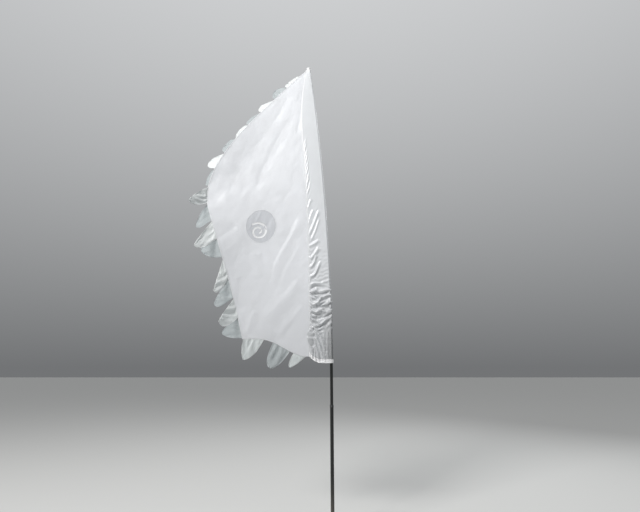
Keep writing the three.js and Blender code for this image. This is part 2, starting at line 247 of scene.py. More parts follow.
def build_wear_group():
    """Wear on hard parts: long fine scratches, a blotchy rubbed film, and dust that thins out with height."""
    group, source, result = new_group(
        "wear",
        [("Base", "Color"), ("Dust", "Color"), ("Reach", "Float"), ("Scratches", "Float")],
        [("Color", "Color"), ("Roughness", "Float"), ("Height", "Float")],
    )
    place = add_node(group, "TexCoord").outputs["Object"]
    stretch = add_node(group, "Mapping", Scale=(260, 260, 7))
    group.links.new(place, stretch.inputs["Vector"])
    streaks = noise_node(group, stretch.outputs[0], Scale=1.0, Detail=4, Roughness=0.6)
    scratch = product(group, difference(group, streaks, 0.60, clamp=True), 6, clamp=True)
    scratch = product(group, scratch, source.outputs["Scratches"])
    blotches = noise_node(group, place, Scale=38, Detail=5, Roughness=0.62)
    height = math_node(group, "DIVIDE", axes_of(group, place)["Z"], source.outputs["Reach"])
    low = difference(group, 1, height, clamp=True)
    film = product(group, math_node(group, "POWER", low, 2), blotches, clamp=True)
    dusty = mix_colours(group, film, source.outputs["Base"], source.outputs["Dust"])
    rubbed = mix_colours(group, product(group, scratch, 0.22), dusty, source.outputs["Dust"])
    group.links.new(rubbed, result.inputs["Color"])
    rough = math_node(group, "MULTIPLY_ADD", blotches, 0.22, 0.22)
    rough = total(group, rough, product(group, film, 0.5), clamp=True)
    group.links.new(rough, result.inputs["Roughness"])
    group.links.new(difference(group, blotches, scratch), result.inputs["Height"])
    return group


wear = build_wear_group()


def hard_material(name, base, reach, scratches, bump, extra_height=None, gloss=0.5):
    """A hard dark finish under the wear group; extra_height(tree) may add its own relief."""
    material, tree, output = new_material(name)
    worn = use_group(tree, wear, Base=base, Dust=DUST, Reach=reach, Scratches=scratches)
    shader = add_node(tree, "BsdfPrincipled", Specular_IOR_Level=gloss)
    height = worn.outputs["Height"]
    if extra_height is not None:
        height = total(tree, height, extra_height(tree))
    relief = add_node(tree, "Bump", Strength=1.0, Distance=bump)
    tree.links.new(height, relief.inputs["Height"])
    tree.links.new(relief.outputs[0], shader.inputs["Normal"])
    tree.links.new(worn.outputs["Color"], shader.inputs["Base Color"])
    tree.links.new(worn.outputs["Roughness"], shader.inputs["Roughness"])
    tree.links.new(shader.outputs[0], output.inputs["Surface"])
    return material


def foot_profile():
    """Radius and height round the cup's wall: sole, rounded heel, wall, rounded rim, bore, inner floor.

    The ribs stand on the wall without its two end rows, and fade out at both ends.
    """
    quarter = np.linspace(0, np.pi / 2, 5)
    heel = (FOOT_RADIUS - FOOT_ROUNDING + FOOT_ROUNDING * np.sin(quarter),
            FOOT_ROUNDING * (1 - np.cos(quarter)))
    wall_height = np.linspace(FOOT_ROUNDING * 2, FOOT_HEIGHT - FOOT_ROUNDING * 2, WALL_ROWS)
    lip = FOOT_ROUNDING * 0.7
    rim = FOOT_RADIUS - lip + lip * np.cos(quarter), FOOT_HEIGHT - lip + lip * np.sin(quarter)
    radius = np.concatenate(
        [[0], heel[0], np.full(WALL_ROWS, FOOT_RADIUS), rim[0], [FOOT_BORE, FOOT_BORE, 0]])
    height = np.concatenate([[0], heel[1], wall_height, rim[1], [FOOT_HEIGHT, FOOT_FLOOR, FOOT_FLOOR]])
    ribs = np.zeros(len(radius))
    first = 1 + len(quarter) + 2
    fade = np.sin(np.linspace(0, np.pi, WALL_ROWS - 2)[1:-1]) ** 0.4
    ribs[first:first + WALL_ROWS - 4] = RIB_DEPTH * fade
    return radius, height, ribs


rubber_finish = hard_material("rubber_finish", RUBBER, reach=0.30, scratches=0.2, bump=0.0002)
foot_radius, foot_height, foot_ribs = foot_profile()
foot_cup = turned("foot_cup", foot_radius, foot_height, 180, closed=False, ribs=foot_ribs)
foot_cup.data.materials.append(rubber_finish)
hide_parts("foot_cap")
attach(foot_cup, "pole_butt")

# Pole tubes: five wound glass-fibre tubes that slide into each other, each drawn out
# and held by 150 mm of overlap. They are black, satin, with the winding just showing.
TUBE_LENGTH = 1.130
TUBE_OVERLAP = 0.150
BUTT_RADIUS = 0.0175
RADIUS_STEP = 0.0025
TUBE_WALL = 0.002
TUBE_CHAMFER = 0.0004
TUBE_SIDES = 48
TUBE_ROWS = 48
TUBE_COUNT = 5
WINDING_PITCH = 0.0042
FIBREGLASS = (0.010, 0.0115, 0.011, 1)


def tube_foot(i):
    """Height of the lower end of tube i, counted from 0 at the butt."""
    return FOOT_FLOOR + SEAT_GAP + i * (TUBE_LENGTH - TUBE_OVERLAP)


def tube_radius(i):
    """Outer radius of tube i, a step less than that of the tube below."""
    return BUTT_RADIUS - i * RADIUS_STEP


def winding(tree):
    """Two families of crossing spiral bands round the tube, from its UV map of turn and height."""
    place = axes_of(tree, add_node(tree, "TexCoord").outputs["UV"])
    climb = product(tree, place["Y"], 2 * math.pi / WINDING_PITCH)
    bands = []
    for hand in (-1, 1):
        phase = total(tree, product(tree, place["X"], hand / MAP_PER_RADIAN), climb)
        bands.append(math_node(tree, "SINE", phase))
    return product(tree, math_node(tree, "MAXIMUM", *bands), 0.35)


tube_finish = hard_material("tube_finish", FIBREGLASS, reach=0.55, scratches=0.8, bump=0.00012,
                            extra_height=winding, gloss=0.45)
for i in range(TUBE_COUNT):
    outer, foot = tube_radius(i), tube_foot(i)
    inner, top = outer - TUBE_WALL, foot + TUBE_LENGTH
    rise = np.linspace(foot + TUBE_CHAMFER, top - TUBE_CHAMFER, TUBE_ROWS)
    radius = np.concatenate([
        [outer - TUBE_CHAMFER], np.full(TUBE_ROWS, outer), [outer - TUBE_CHAMFER],
        [inner + TUBE_CHAMFER], np.full(TUBE_ROWS, inner), [inner + TUBE_CHAMFER]])
    height = np.concatenate([[foot], rise, [top, top], rise[::-1], [foot]])
    tube = turned(f"pole_tube_{i + 1}", radius, height, TUBE_SIDES)
    tube.data.materials.append(tube_finish)
    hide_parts(f"pole_section_{i + 1}")
    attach(tube, "pole_butt" if i == 0 else "flag_on_mast")

# Binding rings: thread wound round the open end of each tube against splitting and
# soaked in glossy black resin. The turns of the thread still show as fine ridges.
RING_LENGTH = 0.024
RING_WALL = 0.0017
RING_LIP = 0.0005
THREAD_TURNS = 13
THREAD_DEPTH = 0.00035
RESIN = (0.014, 0.015, 0.016, 1)

ring_finish = hard_material("ring_finish", RESIN, reach=0.55, scratches=0.25, bump=0.0001, gloss=0.6)
for i in range(TUBE_COUNT - 1):
    bore = tube_radius(i) + SEAT_GAP
    top = tube_foot(i) + TUBE_LENGTH - SEAT_GAP
    rise = np.linspace(0, 1, THREAD_TURNS * 6 + 1)
    swell = np.sin(np.pi * np.clip(np.minimum(rise, 1 - rise) * 9, 0, 0.5)) ** 0.5
    thread = THREAD_DEPTH * (1 - np.abs(np.cos(np.pi * THREAD_TURNS * rise)))
    outline = bore + RING_LIP + (RING_WALL - RING_LIP) * swell - THREAD_DEPTH + thread
    radius = np.concatenate([[bore], outline, [bore]])
    height = top - RING_LENGTH + RING_LENGTH * np.concatenate([[0], rise, [1]])
    ring = turned(f"binding_{i + 1}", radius, height, TUBE_SIDES)
    ring.data.materials.append(ring_finish)
    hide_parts(f"joint_ring_{i + 1}")
    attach(ring, "pole_butt" if i == 0 else "flag_on_mast")

# Tip plug: a moulded rubber plug in the top of the last tube. Its round head keeps
# the rough end of the tube from cutting through the closed end of the sleeve.
PLUG_STEM = 0.040
PLUG_HEAD = 0.008
PLUG_RIM = 0.003
CROWN_SHARE = 0.6
TIP_RADIUS = tube_radius(TUBE_COUNT - 1)
POLE_TOP = tube_foot(TUBE_COUNT - 1) + TUBE_LENGTH
TIP_LEAN = math.atan(2 * BEND_RATE * (POLE_TOP - BEND_START))
PLUG_TOP = POLE_TOP + SEAT_GAP + PLUG_HEAD + CROWN_SHARE * TIP_RADIUS * math.sin(TIP_LEAN)

dome = np.linspace(0, np.pi / 2, 8)
stem_radius = TIP_RADIUS - TUBE_WALL - SEAT_GAP
crown = POLE_TOP + SEAT_GAP
plug_radius = np.concatenate([[0, stem_radius, stem_radius, TIP_RADIUS], TIP_RADIUS * np.cos(dome)])
stem_foot = POLE_TOP - PLUG_STEM
plug_height = np.concatenate(
    [[stem_foot, stem_foot, crown, crown], crown + PLUG_RIM + (PLUG_HEAD - PLUG_RIM) * np.sin(dome)])
tip_cap = turned("tip_cap", plug_radius, plug_height, 32, closed=False)
tip_cap.data.materials.append(rubber_finish)
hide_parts("tip_plug")
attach(tip_cap, "flag_on_mast")

# Pole sleeve: one strip of white nylon folded round the pole and sewn to the panel
# at its back edge. It is longer than the seam and the pole, so it settles into puckers.
SLEEVE_FOOT = 1.540
SEAM_FOOT = 1.600
SEAM_TOP = 5.020
SLEEVE_WIDTH = 0.245
SLEEVE_NARROWING = 0.0205
TAPER_LENGTH = 0.900
POCKET_WALL = 0.0016
POCKET_CLEARANCE = 0.001
TIP_SLACK = 0.016
SEAM_LEAST = 0.0006
CAP_HEIGHT = 0.038
SEAM_HALF = 0.002
SLEEVE_TOP = PLUG_TOP - 0.005
SLEEVE_CUT = 0.490
MOUTH_SLANT = 0.060
MOUTH_WAVER = 0.006
MOUTH_FLARE = 0.012
MOUTH_PLEATS = 0.014
SEAM_BULGE = 0.045
BULGE_REACH = 0.036
BULGE_WINDOW = (1.74, 1.87, 0.14)
FRONT_CROWDING = 0.09
MOUTH_CROWDING = 0.55
SLEEVE_LEVELS = [(160, 38, 50, 0.12), (290, 66, 40, 0.08), (450, 100, 20, 0.05)]
PUCKER_REACH = 0.038
CLOTH_THICKNESS = 0.0007
FLANK = 0.43
FLANK_FULLNESS = 0.8
FOLD_FADE = 0.2
WHITE = (0.84, 0.85, 0.87, 1)
WHITE_THROUGH = (0.89, 0.90, 0.92, 1)
SLEEVE_WHITE = (0.88, 0.90, 0.92, 1)
RIPSTOP_PITCH = 0.006
CLOTH_RELIEF = 0.0012
# Height below which the cloth's tone is darkened as painted shade
PAINTED_SHADE_TOP = 2.6

# Each zone of puckers: its heights and soft margin, the slope of its creases in degrees, the distances from
# the seam where that slope turns over, the slack across the creases, the pull along them, and how fast
# the slack fades away from the seam
PUCKER_ZONES = [
    (4.10, 4.75, 0.30, 80, (), 0.02, 0.010, 0.03),
    (3.40, 3.98, 0.20, 72, (), 0.035, 0.010, 0.05),
    (2.85, 3.38, 0.22, 62, (), 0.012, 0.010, 0.15),
    (2.34, 2.85, 0.12, 45, (), 0.015, 0.010, 0.12),
    (2.25, 2.33, 0.06, 4, (), 0.20, 0.000, 1.00),
    (1.89, 2.27, 0.10, -42, (0.055, 0.11, 0.165), 0.42, 0.030, 1.00),
    (1.40, 1.90, 0.12, 60, (0.05,), 0.05, 0.000, 1.00),
]

# Gathers along the seam: their heights and soft margin, and the slack up the sleeve
GATHER_REACH = 0.045
SEAM_GATHERS = [(2.30, 2.80, 0.12, 0.06), (1.88, 2.30, 0.15, 0.12), (2.80, 3.60, 0.40, 0.010)]

# Crests that the sleeve's front is folded along: distances from the seam with their heights, the reach
# on the left and on the right of that line, and how far the crest stands out
SLEEVE_FOLDS = [
    ([(0.00, 3.20), (0.02, 3.26), (0.05, 3.34)], 0.018, 0.012, 0.004),
    ([(0.00, 3.02), (0.03, 3.12), (0.07, 3.21)], 0.020, 0.010, 0.005),
    ([(0.00, 2.90), (0.06, 3.03), (0.13, 3.20)], 0.022, 0.011, 0.006),
    ([(0.03, 2.85), (0.08, 2.96), (0.13, 3.10)], 0.018, 0.010, 0.004),
    ([(0.00, 2.79), (0.045, 2.80), (0.12, 2.85)], 0.024, 0.009, 0.008),
    ([(0.00, 2.64), (0.035, 2.66), (0.075, 2.71), (0.11, 2.77)], 0.026, 0.010, 0.010),
    ([(0.00, 2.53), (0.035, 2.565), (0.065, 2.63), (0.08, 2.68)], 0.015, 0.009, 0.009),
    ([(0.00, 2.44), (0.045, 2.455), (0.08, 2.51), (0.12, 2.61)], 0.018, 0.009, 0.009),
    ([(0.00, 2.35), (0.055, 2.36), (0.13, 2.36)], 0.018, 0.007, 0.010),
    ([(0.00, 2.27), (0.03, 2.275), (0.06, 2.25)], 0.014, 0.009, 0.007),
    ([(0.00, 2.20), (0.035, 2.21), (0.08, 2.175), (0.12, 2.22)], 0.018, 0.009, 0.009),
    ([(0.01, 2.09), (0.065, 2.05), (0.115, 2.095), (0.16, 2.03)], 0.010, 0.008, 0.010),
    ([(0.01, 2.03), (0.05, 2.01), (0.10, 2.03)], 0.010, 0.008, 0.007),
    ([(0.01, 1.99), (0.055, 1.97), (0.115, 1.945), (0.18, 1.98)], 0.016, 0.009, 0.012),
    ([(-0.02, 1.74), (0.00, 1.80), (0.02, 1.86),
      (0.05, 1.905), (0.085, 1.85), (0.12, 1.78), (0.16, 1.66)], 0.009, 0.020, 0.016),
    ([(-0.02, 1.58), (0.005, 1.70), (0.022, 1.78),
      (0.046, 1.848), (0.075, 1.78), (0.105, 1.70), (0.14, 1.56)], 0.009, 0.020, 0.016),
    ([(-0.01, 1.45), (0.012, 1.63), (0.024, 1.71),
      (0.042, 1.785), (0.062, 1.71), (0.083, 1.63), (0.11, 1.45)], 0.009, 0.018, 0.016),
    ([(0.018, 1.45), (0.03, 1.62), (0.042, 1.70), (0.054, 1.62), (0.07, 1.45)], 0.006, 0.012, 0.012),
    ([(0.13, 1.93), (0.15, 1.83), (0.155, 1.70), (0.15, 1.58)], 0.022, 0.014, 0.004),
    ([(0.19, 1.88), (0.185, 1.74), (0.19, 1.56)], 0.012, 0.010, 0.005),
]

# Short streaks that run up from the seam: the height where each starts, and how far up it runs
SEAM_STREAKS = [
    (3.38, 0.10), (3.45, 0.16), (3.52, 0.12), (3.58, 0.17), (3.66, 0.14), (3.73, 0.16), (3.82, 0.12),
    (3.90, 0.15), (3.99, 0.10),
]
SLEEVE_FOLDS += [
    ([(0.004, z), (0.012, z + 0.4 * reach), (0.04, z + reach)], 0.009, 0.006, 0.0035)
    for z, reach in SEAM_STREAKS
]


def pocket_radius(z):
    """Inner radius of the pole pocket: it clears the second ring, and narrows as the tubes step down."""
    at_ring = tube_radius(1) + SEAT_GAP + RING_WALL + POCKET_CLEARANCE
    return at_ring - (z - tube_foot(1) - TUBE_LENGTH) * RADIUS_STEP / (TUBE_LENGTH - TUBE_OVERLAP)


def sleeve_width(z):
    """From the leading fold to the seam: nearly even, then closing over the last 0.9 m to the tip."""
    tip = 2 * pocket_radius(z) + TIP_SLACK
    full = SLEEVE_WIDTH - SLEEVE_NARROWING * (z - SLEEVE_FOOT)
    u = np.clip((PLUG_TOP - z) / TAPER_LENGTH, 0, 1)
    return tip + (full - tip) * (1 - (1 - u) ** 2)


def seam_x(z):
    """Where the seam between sleeve and panel runs at each height."""
    return pole_x(z) + pocket_radius(z) + POCKET_WALL - sleeve_width(z)


def smooth(t):
    """Eases 0 to 1 with level ends: 3 t^2 - 2 t^3."""
    return t * t * (3 - 2 * t)


def noise(x, z, cell, seed):
    """Random numbers from -1 to 1 at the corners of square cells, blended smoothly between them."""
    table = np.random.default_rng(seed).uniform(-1, 1, (64, 64))
    i, j = np.floor(x / cell).astype(int), np.floor(z / cell).astype(int)
    a, b = x / cell - i, z / cell - j
    a, b = smooth(a), smooth(b)
    corner = [[table[(i + p) % 64, (j + q) % 64] for q in (0, 1)] for p in (0, 1)]
    low = corner[0][0] * (1 - a) + corner[1][0] * a
    high = corner[0][1] * (1 - a) + corner[1][1] * a
    return low * (1 - b) + high * b


def creases(x, z, angle, length, spacing, seed):
    """Sharp-crested creases along one direction: (1 - |noise|) squared in a frame turned by the angle."""
    along = x * math.cos(angle) + z * math.sin(angle)
    across = z * math.cos(angle) - x * math.sin(angle)
    drift = noise(along, across, 2.2 * spacing, seed + 1) * spacing * 0.5
    wave = noise(along / length * spacing, across + drift, spacing, seed)
    return (1 - np.abs(wave)) ** 2


def window(z, low, high, soft=0.15):
    """1 between two heights, fading to 0 over a soft margin outside them."""
    up = np.clip((z - low) / soft + 0.5, 0, 1)
    down = np.clip((high - z) / soft + 0.5, 0, 1)
    return smooth(up) * smooth(down)


def sleeve_point(turn, z, lift=0.0):
    """A point of the taut sleeve: turn goes 0 to 1 from the seam along the front, round the pole and back.

    Along a flank the half thickness is thin + (R - thin) * (1 - f) ** FLANK_FULLNESS, where f is 1 at the
    seam.
    """
    radius = pocket_radius(z) + POCKET_WALL + lift
    thin = SEAM_HALF * 0.6 + lift
    flank = np.minimum(turn, 1 - turn) / FLANK
    f = np.clip(1 - flank, 0, 1)
    spin = np.pi * (np.clip((turn - FLANK) / (1 - 2 * FLANK), 0, 1) - 0.5)
    half = thin + (radius - thin) * (1 - f) ** FLANK_FULLNESS
    width = pole_x(z) - seam_x(z)
    on_nose = flank >= 1
    x = np.where(on_nose, pole_x(z) + radius * np.cos(spin), pole_x(z) - width * f)
    y = np.where(on_nose, radius * np.sin(spin), np.where(turn < 0.5, -1, 1) * half)
    return np.stack([x, y, z + 0 * x], axis=-1)


def finer(grid, count, axis):
    """The grid with another number of lines along one axis, on Catmull-Rom curves through its points."""
    grid = np.moveaxis(grid, axis, 0)
    s = np.linspace(0, len(grid) - 1, count)
    i = np.minimum(s.astype(int), len(grid) - 2)
    t = (s - i).reshape((-1,) + (1,) * (grid.ndim - 1))
    a, b, c, d = (grid[np.clip(i + k, 0, len(grid) - 1)] for k in (-1, 0, 1, 2))
    curve = b + t / 2 * (c - a + t * (2 * a - 5 * b + 4 * c - d + t * (3 * (b - c) + d - a)))
    return np.moveaxis(curve, 0, axis)


def resized(grid, rows, columns):
    """The grid with other numbers of rows and columns."""
    return finer(finer(grid, rows, 0), columns, 1)


def fold_height(x, z, line, left, right):
    """Height of one fold: exp(-(d / width) ** 1.7), where d is the distance to a curve through its points.

    Each side of the curve has a width of its own, and the fold fades out over FOLD_FADE of it at each end.
    """
    line = finer(np.array(line), 4 * len(line), 0)
    share = np.linspace(0, 1, len(line))
    nearest = np.full(np.broadcast(x, z).shape, np.inf)
    passed, leftness = np.zeros_like(nearest), np.zeros_like(nearest)
    for k in range(len(line) - 1):
        step = line[k + 1] - line[k]
        t = np.clip(((x - line[k, 0]) * step[0] + (z - line[k, 1]) * step[1]) / (step @ step), 0, 1)
        off_x, off_z = x - line[k, 0] - t * step[0], z - line[k, 1] - t * step[1]
        closer = np.hypot(off_x, off_z) < nearest
        nearest = np.where(closer, np.hypot(off_x, off_z), nearest)
        passed = np.where(closer, share[k] + t * (share[k + 1] - share[k]), passed)
        leftness = np.where(closer, step[1] * off_x - step[0] * off_z, leftness)
    fade = smooth(np.clip(np.minimum(passed, 1 - passed) / FOLD_FADE, 0, 1))
    return fade * np.exp(-((nearest / np.where(leftness > 0, left, right)) ** 1.7))


def link_ends(rows, columns, down, over):
    """Both ends of every link that goes a step down and over the grid.

    They come in parts in which no point is used twice.
    """
    stride = 2 * (down or over)
    for start in range(stride):
        if down:
            yield ((slice(start, rows - down, stride), slice(max(0, -over), columns - max(0, over))),
                   (slice(start + down, rows, stride), slice(max(0, over), columns - max(0, -over))))
        else:
            yield ((slice(None), slice(start, columns - over, stride)),
                   (slice(None), slice(start + over, columns, stride)))


def settle_cloth(taut, cut, slack, loose, shift, levels, limit=None):
    """Cloth that is larger than the taut surface that it is held on, settled into folds.

    Every link between neighbours wants its length on the taut surface times 1 + v . slack . v, where v is its
    direction on the cut. Each round moves the ends of each link towards that, as far as they are loose.
    levels holds the grids to settle on, from coarse to fine: rows, columns, rounds and stiffness in bending.
    """
    cloth = None
    for rows, columns, rounds, bending in levels:
        fields = (taut, cut, slack, loose, shift)
        base, place, more, free, start = (resized(field, rows, columns) for field in fields)
        free = np.clip(free, 0, 1)[..., None]
        cloth = base + start if cloth is None else resized(cloth, rows, columns)
        steps = ((1, 0, 0.9), (0, 1, 0.9), (1, 1, 0.6), (1, -1, 0.6), (2, 0, bending), (0, 2, bending))
        links = []
        for down, over, stiff in steps:
            for one, two in link_ends(rows, columns, down, over):
                v = place[two] - place[one]
                v /= np.linalg.norm(v, axis=-1, keepdims=True) + 1e-9
                extra = np.einsum("...i,...ij,...j", v, (more[one] + more[two]) / 2, v)
                wanted = np.linalg.norm(base[two] - base[one], axis=-1) * (1 + extra)
                links.append((one, two, wanted[..., None], stiff / np.maximum(free[one] + free[two], 1e-6)))
        for _ in range(rounds):
            for one, two, wanted, share in links:
                step = cloth[two] - cloth[one]
                length = np.sqrt((step * step).sum(-1, keepdims=True)) + 1e-9
                step *= share * (1 - wanted / length)
                cloth[one] += free[one] * step
                cloth[two] -= free[two] * step
            if limit is not None:
                limit(cloth, place)
    return cloth


def normals_of(middle):
    """Unit normals of a grid surface, from the cross product of its two directions."""
    n = np.cross(np.gradient(middle, axis=0), np.gradient(middle, axis=1))
    return n / np.maximum(np.linalg.norm(n, axis=-1, keepdims=True), 1e-12)


def sheet_piece(name, middle, thickness, uv, keep=None, crease=40):
    """A closed sheet of cloth: its middle surface moved half the thickness each way, joined at the edges.

    keep marks the quads that are cloth, so that a hole gets its own joined edge.
    """
    rows, columns = middle.shape[:2]
    shift = normals_of(middle) * np.broadcast_to(thickness, (rows, columns))[..., None] / 2
    quads = grid_quads(rows, columns)
    if keep is not None:
        quads = quads[keep.ravel()]
    edges = np.concatenate([quads[:, [k, (k + 1) % 4]] for k in range(4)])
    _, first, uses = np.unique(np.sort(edges, axis=1), axis=0, return_index=True, return_counts=True)
    rim = edges[first[uses == 1]]
    count = rows * columns
    joined = np.column_stack([rim[:, 1], rim[:, 0], rim[:, 0] + count, rim[:, 1] + count])
    faces = np.concatenate([quads, quads[:, ::-1] + count, joined])
    points = np.concatenate([(middle + shift).reshape(-1, 3), (middle - shift).reshape(-1, 3)])
    used, faces = np.unique(faces, return_inverse=True)
    both = np.concatenate([uv.reshape(-1, 2)] * 2)
    return make_piece(name, points[used], faces.reshape(-1, 4), both[used], crease=crease)


def build_weave_group():
    """Woven cloth from a map of the cut in metres.

    Thicker yarns run both ways every Pitch, the fine threads vary in tone, the cloth holds small crumples,
    and painted shade, as strong as the fourth input, darkens the tone below a set height, more over the
    first metre down, in soft blotches. Tone and Height change where a thick yarn runs, and Open is 0 on it.
    """
    group, source, result = new_group(
        "woven_cloth",
        [("Map", "Vector"), ("Pitch", "Float"), ("Crumple", "Float"), ("Soil", "Float")],
        [("Tone", "Float"), ("Height", "Float"), ("Open", "Float")],
    )
    cut = source.outputs["Map"]
    place = axes_of(group, cut)
    yarns = []
    for axis in ("X", "Y"):
        step = math_node(group, "FRACT", math_node(group, "DIVIDE", place[axis], source.outputs["Pitch"]))
        edge = product(group, math_node(group, "ABSOLUTE", difference(group, step, 0.5)), 2)
        yarns.append(product(group, difference(group, edge, 0.88, clamp=True), 8.3, clamp=True))
    grid = math_node(group, "MAXIMUM", *yarns)
    threads = noise_node(group, cut, Scale=900, Detail=2)
    cloudy = noise_node(group, cut, Scale=5, Detail=4, Roughness=0.55)
    crumples = noise_node(group, cut, Scale=26, Detail=5, Roughness=0.55, Distortion=0.6)
    ridge = math_node(group, "ABSOLUTE", difference(group, crumples, 0.5))
    ridge = product(group, ridge, source.outputs["Crumple"])
    tone = math_node(group, "MULTIPLY_ADD", cloudy, 0.10, 0.90)
    tone = total(group, tone, product(group, threads, 0.05))
    tone = difference(group, tone, product(group, grid, 0.05), clamp=True)
    height = axes_of(group, add_node(group, "TexCoord").outputs["Object"])["Z"]
    # Painted shade: the tone darkens below a set height, in soft blotches
    low = product(group, difference(group, PAINTED_SHADE_TOP, height, clamp=True), source.outputs["Soil"])
    low = product(group, low, total(group, cloudy, 0.5))
    group.links.new(difference(group, tone, low, clamp=True), result.inputs["Tone"])
    group.links.new(total(group, product(group, grid, 0.06), ridge), result.inputs["Height"])
    open_share = product(group, difference(group, 1, grid), threads)
    group.links.new(product(group, open_share, 2, clamp=True), result.inputs["Open"])
    return group


woven = build_weave_group()


def cloth_material(name, colour, through, passing, clear, pitch, crumple, gloss=0.38, sheen=0.35, painted_shade=0.10,
                   stitches=None, sight_and_painted_shade=None):
    """Thin cloth: a glossy woven face, light that passes through it, and a share of open weave.

    passing is the share of light let through as a glow and clear the share of sight through the weave.
    crumple is a number, or returns one from (tree, map). stitches(tree, map) may return a mask of thread,
    which is raised and paler. The last argument, called with (tree, map), returns the share of sight through
    the cloth and a painted shade that lowers its tone. The argument before stitches sets painted shade that
    darkens the tone below a set height.
    """
    material, tree, output = new_material(name)
    cut = add_node(tree, "TexCoord").outputs["UV"]
    crumple = crumple(tree, cut) if callable(crumple) else crumple
    cloth = use_group(tree, woven, Map=cut, Pitch=pitch, Crumple=crumple, Soil=painted_shade)
    tone, height, open_share = cloth.outputs["Tone"], cloth.outputs["Height"], cloth.outputs["Open"]
    if stitches is not None:
        thread = stitches(tree, cut)
        height = total(tree, height, product(tree, thread, 0.5))
        tone = difference(tree, tone, product(tree, thread, 0.22))
        open_share = product(tree, open_share, difference(tree, 1, thread))
    sight = product(tree, open_share, clear)
    if sight_and_painted_shade is not None:
        seen, shade = sight_and_painted_shade(tree, cut)
        sight = math_node(tree, "MAXIMUM", sight, seen)
        tone = difference(tree, tone, shade, clamp=True)
    tinted = [mix_colours(tree, 1, shade, tone, blend_type="MULTIPLY") for shade in (colour, through)]
    face = add_node(tree, "BsdfPrincipled", Roughness=gloss, Specular_IOR_Level=sheen)
    tree.links.new(tinted[0], face.inputs["Base Color"])
    relief = add_node(tree, "Bump", Strength=1.0, Distance=CLOTH_RELIEF)
    tree.links.new(height, relief.inputs["Height"])
    tree.links.new(relief.outputs[0], face.inputs["Normal"])
    glow = add_node(tree, "BsdfTranslucent")
    tree.links.new(tinted[1], glow.inputs["Color"])
    solid = mix_shaders(tree, passing, face.outputs[0], glow.outputs[0])
    hole = add_node(tree, "BsdfTransparent")
    tree.links.new(mix_shaders(tree, sight, solid, hole.outputs[0]), output.inputs["Surface"])
    return material


white_nylon = cloth_material("white_nylon", WHITE, WHITE_THROUGH, 0.45, 0.06, RIPSTOP_PITCH, 0.5)


def short_of(tree, limit, value, rate):
    """How far a value is short of a limit, times a rate and at most 1."""
    return product(tree, difference(tree, limit, value), rate, clamp=True)


def pole_sight_and_painted_shade(tree, cut):
    """The pole's dark line seen through the leading fold, stronger lower down, and painted shade that darkens
    the cloth beside it below 2.45 m.
    """
    place = axes_of(tree, cut)
    off = math_node(tree, "ABSOLUTE", difference(tree, place["X"], SLEEVE_CUT / 2))
    low = math_node(tree, "MINIMUM", short_of(tree, 4.3, place["Y"], 0.38), 0.86)
    seen = product(tree, short_of(tree, 0.037, off, 55), low)
    shade = product(tree, short_of(tree, 0.12, off, 3.6), short_of(tree, 2.45, place["Y"], 1.3))
    return seen, shade


def crumpled_low(tree, cut):
    """Crumples of the sleeve, which grow from 1 at 2.4 m to about 13 at the mouth."""
    low = difference(tree, 2.4, axes_of(tree, cut)["Y"], clamp=True)
    return total(tree, product(tree, low, 14), 1)


# Painted shade on the sleeve: its tone darkens towards the ground and beside the leading fold low down.
sleeve_nylon = cloth_material("sleeve_nylon", SLEEVE_WHITE, WHITE_THROUGH, 0.25, 0.12, RIPSTOP_PITCH,
                              crumpled_low, gloss=0.25, sheen=0.6, painted_shade=0.20, sight_and_painted_shade=pole_sight_and_painted_shade)


def across_creases(angle, slack, pull):
    """The 2 x 2 strain of slack across a crease direction and pull along it, for an array of angles."""
    over = np.stack([np.sin(angle), -np.cos(angle)], axis=-1)
    along = ray_at(angle)
    return slack * over[..., :, None] * over[..., None, :] - pull * along[..., :, None] * along[..., None, :]


def keep_off_pole(cloth, place):
    """Holds the sleeve off the pole, each wall on its own side of the plane Y = 0 and within its reach."""
    turn = place[..., 0] / SLEEVE_CUT
    side = np.where(turn < 0.5, -1, 1)
    centre = pole_x(cloth[..., 2])
    radius = pocket_radius(cloth[..., 2]) + POCKET_CLEARANCE
    push = np.maximum(1, radius / np.maximum(np.hypot(cloth[..., 0] - centre, cloth[..., 1]), 1e-6))
    cloth[..., 0] = centre + (cloth[..., 0] - centre) * push
    cloth[..., 1] *= push
    share = np.clip((centre - cloth[..., 0]) / (centre - seam_x(cloth[..., 2])), 0, 1)
    thin = SEAM_LEAST
    least = thin + 0.35 * (radius - thin) * (1 - share) ** FLANK_FULLNESS
    least = np.where(np.minimum(turn, 1 - turn) < FLANK, least, -PUCKER_REACH)
    cloth[..., 1] = side * np.clip(side * cloth[..., 1], least, PUCKER_REACH)


rows, columns = SLEEVE_LEVELS[-1][:2]
rise, share = np.meshgrid(np.linspace(0, 1, rows), np.linspace(0, 1, columns), indexing="ij")
turn = share - FRONT_CROWDING * np.sin(np.pi * share)
flank = np.minimum(1, np.minimum(turn, 1 - turn) / FLANK)
waver = MOUTH_WAVER * (1 + noise(turn * SLEEVE_CUT, 0 * turn, 0.024, 41)) * (1 - flank)
mouth = SLEEVE_FOOT + MOUTH_SLANT * np.clip(1 - flank / 0.45, 0, 1) ** 1.3 + waver
level = mouth + (SLEEVE_TOP - mouth) * ((1 - MOUTH_CROWDING) * rise + MOUTH_CROWDING * rise ** 2)
inner = flank * (pole_x(level) - seam_x(level))
back = turn > 0.5
slack = np.zeros(turn.shape + (2, 2))
for low, high, soft, slope, turnovers, extra, pull, reach in PUCKER_ZONES:
    angle = np.radians(slope) * np.prod([np.where(inner < t, 1, -1) for t in (1,) + turnovers], axis=0)
    strength = window(level, low, high, soft) * np.exp(-inner / reach)
    slack += strength[..., None, None] * across_creases(angle, extra, pull)
